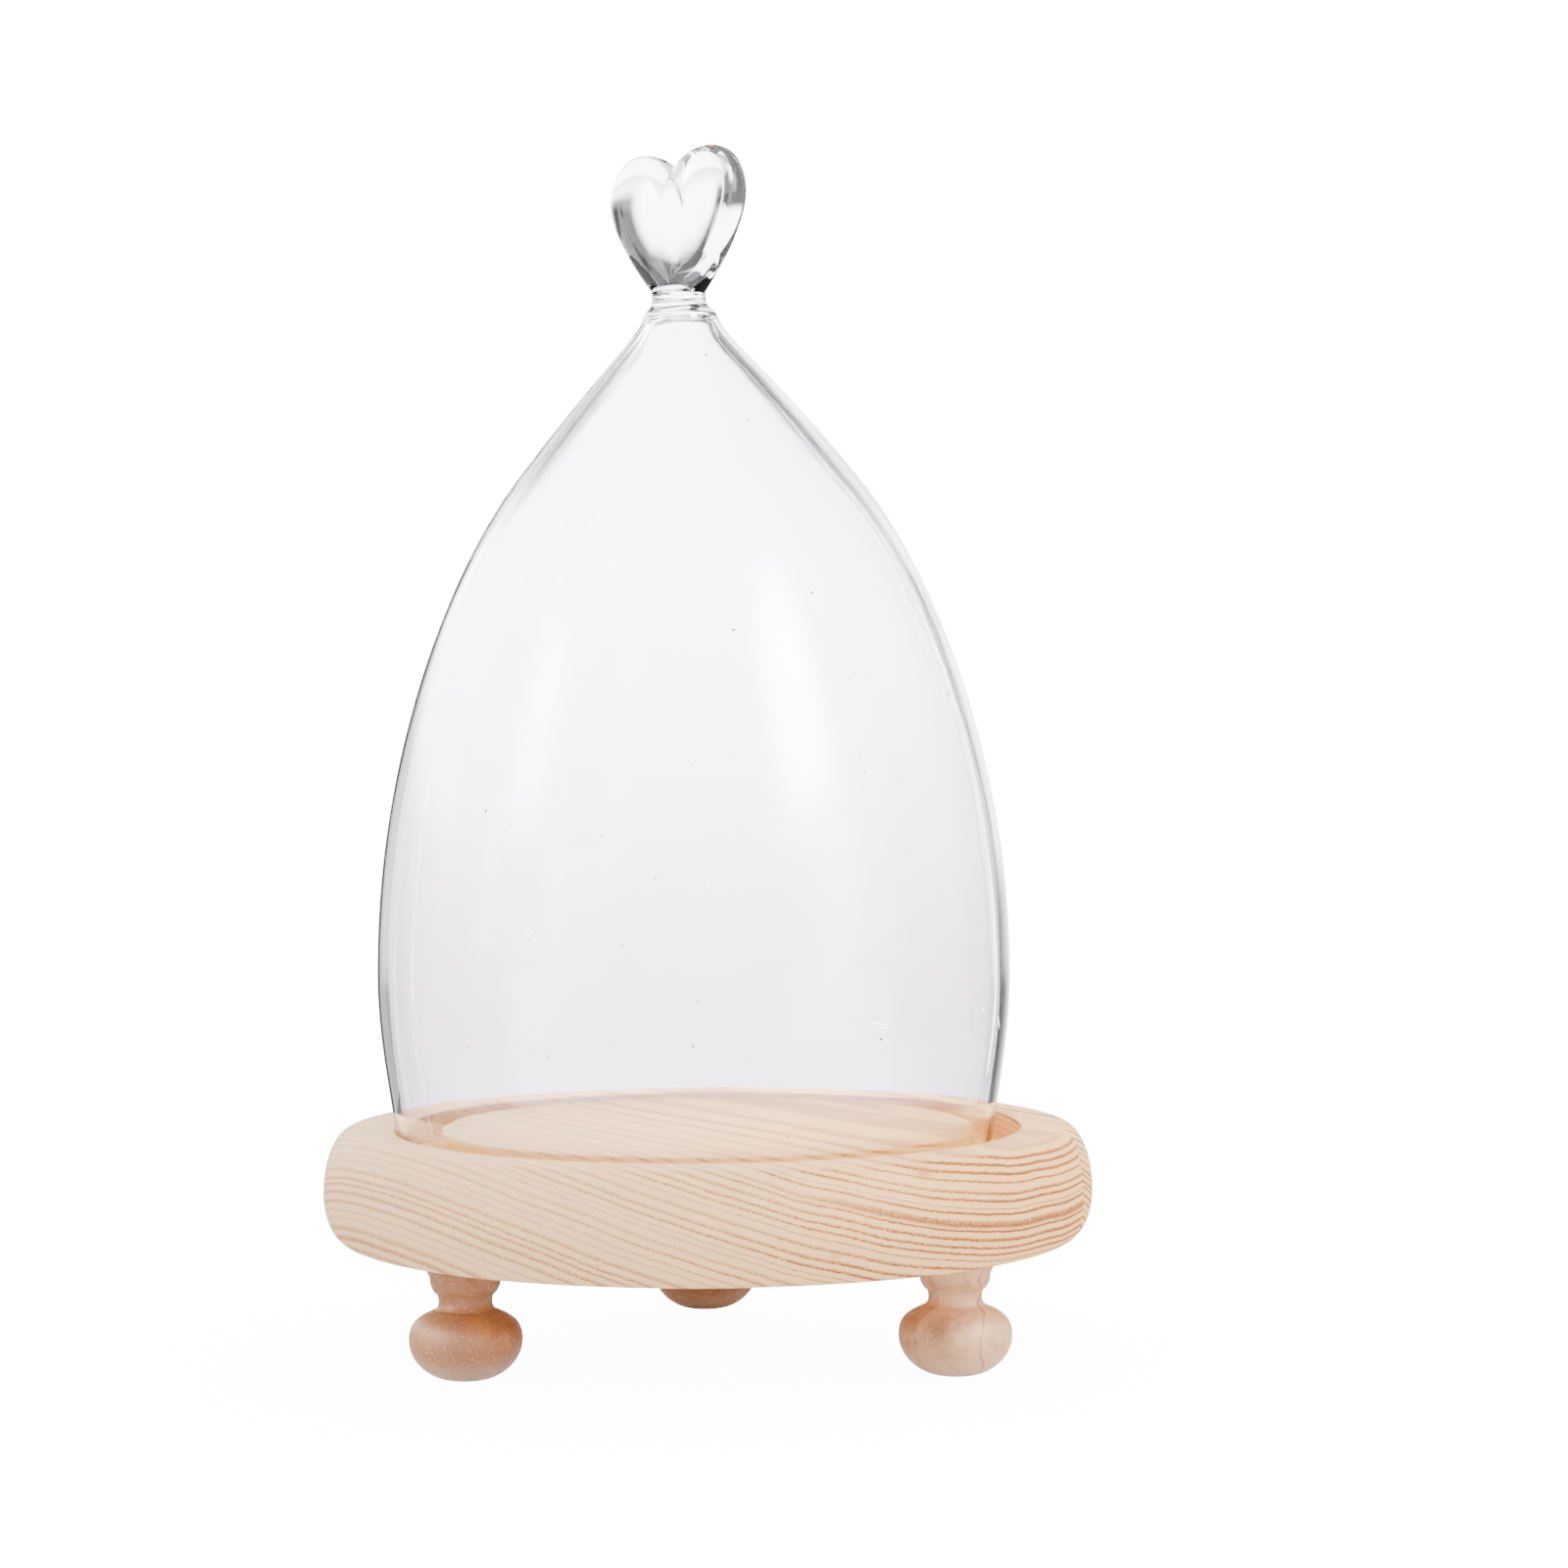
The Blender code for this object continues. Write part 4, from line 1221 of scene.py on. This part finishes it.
def hang_panels(wiring, azimuth, elevation, value, panels):
    """Brightness in a direction with the panels hung before it, one after another."""
    for settings in panels.values():
        angles = [math.radians(setting) for setting in settings[:5]]
        names = ("Panel Azimuth", "Panel Elevation", "Half Width", "Half Height", "Edge")
        panel = wiring.group(
            shared_group("soft panel", make_soft_panel),
            {"Azimuth": azimuth, "Elevation": elevation, **dict(zip(names, angles))},
        )
        value = wiring.blend(panel["Mask"], value, settings[5])
    return value


def glass_rays(wiring):
    """Masks of the rays that reach the eye by way of glass alone, and of those that were mirrored."""
    path = wiring.node("ShaderNodeLightPath").outputs
    bent = wiring.math("MAXIMUM", path["Is Glossy Ray"], path["Is Transmission Ray"])
    clean = wiring.math("LESS_THAN", path["Diffuse Depth"], 0.5)
    return wiring.times(bent, clean), wiring.math("GREATER_THAN", path["Glossy Depth"], 0.5)


def make_world(stage):
    """White for the eye, a studio with panels and flags for the glass, and soft light for the wood."""
    world = bpy.data.worlds.new("studio")
    bpy.context.scene.world = world
    world.use_nodes = True
    world.node_tree.nodes.clear()
    wiring = Wiring(world.node_tree)
    direction = wiring.node("ShaderNodeTexCoord").outputs["Generated"]
    x, y, z = wiring.parts(wiring.vector("NORMALIZE", direction))
    azimuth = wiring.math("ARCTAN2", x, y)
    elevation = wiring.math("ARCSINE", z)

    behind = wiring.ramp(elevation, *HORIZON, stage.low_tent, stage.tent)
    roof = wiring.ramp(elevation, *ROOF_EDGE)
    roofed = wiring.math("MULTIPLY_ADD", roof, stage.roof - stage.tent, behind)
    below = wiring.ramp(elevation, *FLOOR_EDGE)
    straight = wiring.math("MULTIPLY_ADD", below, stage.tent - stage.low_tent, roofed)

    solid = hang_panels(wiring, azimuth, elevation, straight, SOLID_PANELS)
    room = wiring.ramp(elevation, *SKIRTING, stage.mirrored_floor, stage.mirrored_wall)
    mirrored = hang_panels(wiring, azimuth, elevation, room, PANELS)
    inner = hang_panels(wiring, azimuth, elevation, mirrored, INNER_PANELS)

    above = wiring.ramp(elevation, *OVERHEAD)
    level_light = wiring.math("MULTIPLY_ADD", above, stage.top_light - stage.side_fill, stage.side_fill)
    sided = wiring.times(level_light, wiring.math("MULTIPLY_ADD", x, stage.from_right, 1.0))
    depth = wiring.node("ShaderNodeLightPath").outputs["Transmission Depth"]
    gathered = wiring.math("MULTIPLY_ADD", wiring.math("GREATER_THAN", depth, 0.5), stage.gathered, 1.0)
    lighting = wiring.times(sided, gathered)

    through, bounced = glass_rays(wiring)
    entered = wiring.math("GREATER_THAN", depth, 0.5)
    massive = wiring.times(entered, wiring.math("LESS_THAN", depth, 2.5))
    passed = wiring.mix(
        massive, level(wiring, straight, (1.0, 0.91, 1.03)), level(wiring, solid, (1.0, 0.98, 1.01))
    )
    bright = (0.99, 0.985, 1.01)
    mirrors = wiring.mix(massive, level(wiring, mirrored, bright), level(wiring, inner, bright))
    seen_in_glass = wiring.mix(bounced, passed, mirrors)
    other = wiring.mix(through, level(wiring, lighting, (1.0, 0.985, 0.96)), seen_in_glass)
    camera = wiring.node("ShaderNodeLightPath").outputs["Is Camera Ray"]
    seen = wiring.mix(camera, other, (stage.backdrop,) * 3 + (1.0,))
    background = wiring.node("ShaderNodeBackground", {"Color": seen})
    end = wiring.node("ShaderNodeOutputWorld")
    world.node_tree.links.new(background.outputs[0], end.inputs["Surface"])


def level(wiring, strength, tint):
    """A colour at a strength."""
    made = wiring.node("ShaderNodeVectorMath", {0: tint, "Scale": strength}, operation="SCALE")
    return made.outputs[0]


def make_floor(stage):
    """A plain pale floor that goes over into the backdrop, for the eye and for the glass."""
    made, wiring, shader = new_material("pale_floor")
    place = wiring.node("ShaderNodeTexCoord").outputs["Object"]
    cloud = wiring.noise(place, 9.0, detail=2.0)
    wiring.feed(shader.inputs["Base Color"], wiring.mix(cloud, (0.84, 0.84, 0.85, 1.0), (0.88, 0.88, 0.88, 1.0)))
    shader.inputs["Roughness"].default_value = 0.9
    shader.inputs["Specular IOR Level"].default_value = 0.0
    shader.inputs["Emission Color"].default_value = (1.0, 1.0, 1.0, 1.0)
    camera = wiring.node("ShaderNodeLightPath").outputs["Is Camera Ray"]
    wiring.feed(shader.inputs["Emission Strength"], wiring.times(camera, stage.floor_glow))
    through, bounced = glass_rays(wiring)
    x, y, _ = wiring.parts(place)
    round_it = wiring.math("ABSOLUTE", wiring.math("ARCTAN2", x, y))
    mirrored = wiring.ramp(round_it, math.radians(85), math.radians(105), 0.3, stage.mirrored_floor)
    strength = wiring.blend(bounced, stage.tent, mirrored)
    shine = wiring.node("ShaderNodeEmission", {"Color": (1.0, 0.95, 1.02, 1.0), "Strength": strength})
    both = wiring.node("ShaderNodeMixShader", {0: through, 1: shader.outputs[0], 2: shine.outputs[0]})
    end = next(node for node in made.node_tree.nodes if node.type == "OUTPUT_MATERIAL")
    wiring.feed(end.inputs["Surface"], both.outputs[0])
    angles = np.linspace(0.0, 2 * math.pi, 96, endpoint=False)
    rim = [(stage.floor_radius * math.cos(a), stage.floor_radius * math.sin(a), 0.0) for a in angles]
    floor = add_mesh("pale_floor", rim, [tuple(range(len(rim)))], made)
    floor.location.z = -0.05 * MM


def make_camera(stage):
    """The viewer: almost level, a little above the middle of the glass."""
    data = bpy.data.cameras.new("viewer")
    data.sensor_width = 36.0
    data.lens = stage.lens
    data.shift_x, data.shift_y = stage.shift
    camera = bpy.data.objects.new("viewer", data)
    bpy.context.scene.collection.objects.link(camera)
    back = Vector((0.0, -math.cos(stage.tilt), math.sin(stage.tilt)))
    place = Vector((0.0, 0.0, stage.aim_height)) + back * stage.distance
    facing = (-back).to_track_quat("-Z", "Y").to_matrix().to_4x4()
    camera.matrix_world = Matrix.Translation(place) @ facing @ Matrix.Rotation(stage.roll, 4, "Z")
    bpy.context.scene.camera = camera


# ---- operators and panel -----------------------------------------------------------------------
class MakeGlass(bpy.types.Operator):
    """Blow the bell and fuse the heart knob to it"""

    bl_idname = "bell_jar.make_glass"
    bl_label = "Glass Bell and Heart"

    def execute(self, context):
        make_glass(context.scene.bell_jar)
        return {"FINISHED"}


class MakeMarks(bpy.types.Operator):
    """Strew seeds in the glass and scratch it lightly"""

    bl_idname = "bell_jar.make_marks"
    bl_label = "Seeds and Hairlines"

    def execute(self, context):
        make_marks(context.scene.bell_jar)
        return {"FINISHED"}


class MakeBase(bpy.types.Operator):
    """Glue up and turn the pine base"""

    bl_idname = "bell_jar.make_base"
    bl_label = "Pine Base"

    def execute(self, context):
        make_base(context.scene.bell_jar)
        return {"FINISHED"}


class MakeFeet(bpy.types.Operator):
    """Turn the three beech feet"""

    bl_idname = "bell_jar.make_feet"
    bl_label = "Turned Feet"

    def execute(self, context):
        make_feet(context.scene.bell_jar)
        return {"FINISHED"}


class MakeDowels(bpy.types.Operator):
    """Cut the fluted dowels that hold the feet"""

    bl_idname = "bell_jar.make_dowels"
    bl_label = "Fluted Dowels"

    def execute(self, context):
        make_dowels(context.scene.bell_jar)
        return {"FINISHED"}


class MakeStage(bpy.types.Operator):
    """Set up the floor, the light and the camera"""

    bl_idname = "bell_jar.make_stage"
    bl_label = "Stage"

    def execute(self, context):
        stage = context.scene.bell_jar.stage
        make_floor(stage)
        make_world(stage)
        make_camera(stage)
        return {"FINISHED"}


class BellJarPanel(bpy.types.Panel):
    """Lists the sizes, colours and builders of the bell jar"""

    bl_idname = "VIEW3D_PT_bell_jar"
    bl_label = "Bell Jar"
    bl_space_type = "VIEW_3D"
    bl_region_type = "UI"
    bl_category = "Bell Jar"

    def draw(self, context):
        settings = context.scene.bell_jar
        sections = (
            (settings.glass, (MakeGlass, MakeMarks)),
            (settings.base, (MakeBase,)),
            (settings.foot, (MakeFeet, MakeDowels)),
            (settings.stage, (MakeStage,)),
        )
        for group, operators in sections:
            box = self.layout.box()
            for name in group.__annotations__:
                box.prop(group, name)
            for operator in operators:
                box.operator(operator.bl_idname)


CLASSES = (
    GlassSettings, BaseSettings, FootSettings, StageSettings, BellJarSettings,
    MakeGlass, MakeMarks, MakeBase, MakeFeet, MakeDowels, MakeStage, BellJarPanel,
)


def register():
    """Add the classes and the scene's settings."""
    for item in CLASSES:
        bpy.utils.register_class(item)
    bpy.types.Scene.bell_jar = PointerProperty(type=BellJarSettings)


def unregister():
    """Take them away again."""
    del bpy.types.Scene.bell_jar
    for item in reversed(CLASSES):
        bpy.utils.unregister_class(item)


def main():
    """Build every piece."""
    register()
    bpy.ops.bell_jar.make_stage()
    bpy.ops.bell_jar.make_base()
    bpy.ops.bell_jar.make_feet()
    bpy.ops.bell_jar.make_dowels()
    bpy.ops.bell_jar.make_glass()
    bpy.ops.bell_jar.make_marks()


if __name__ == "__main__":
    main()
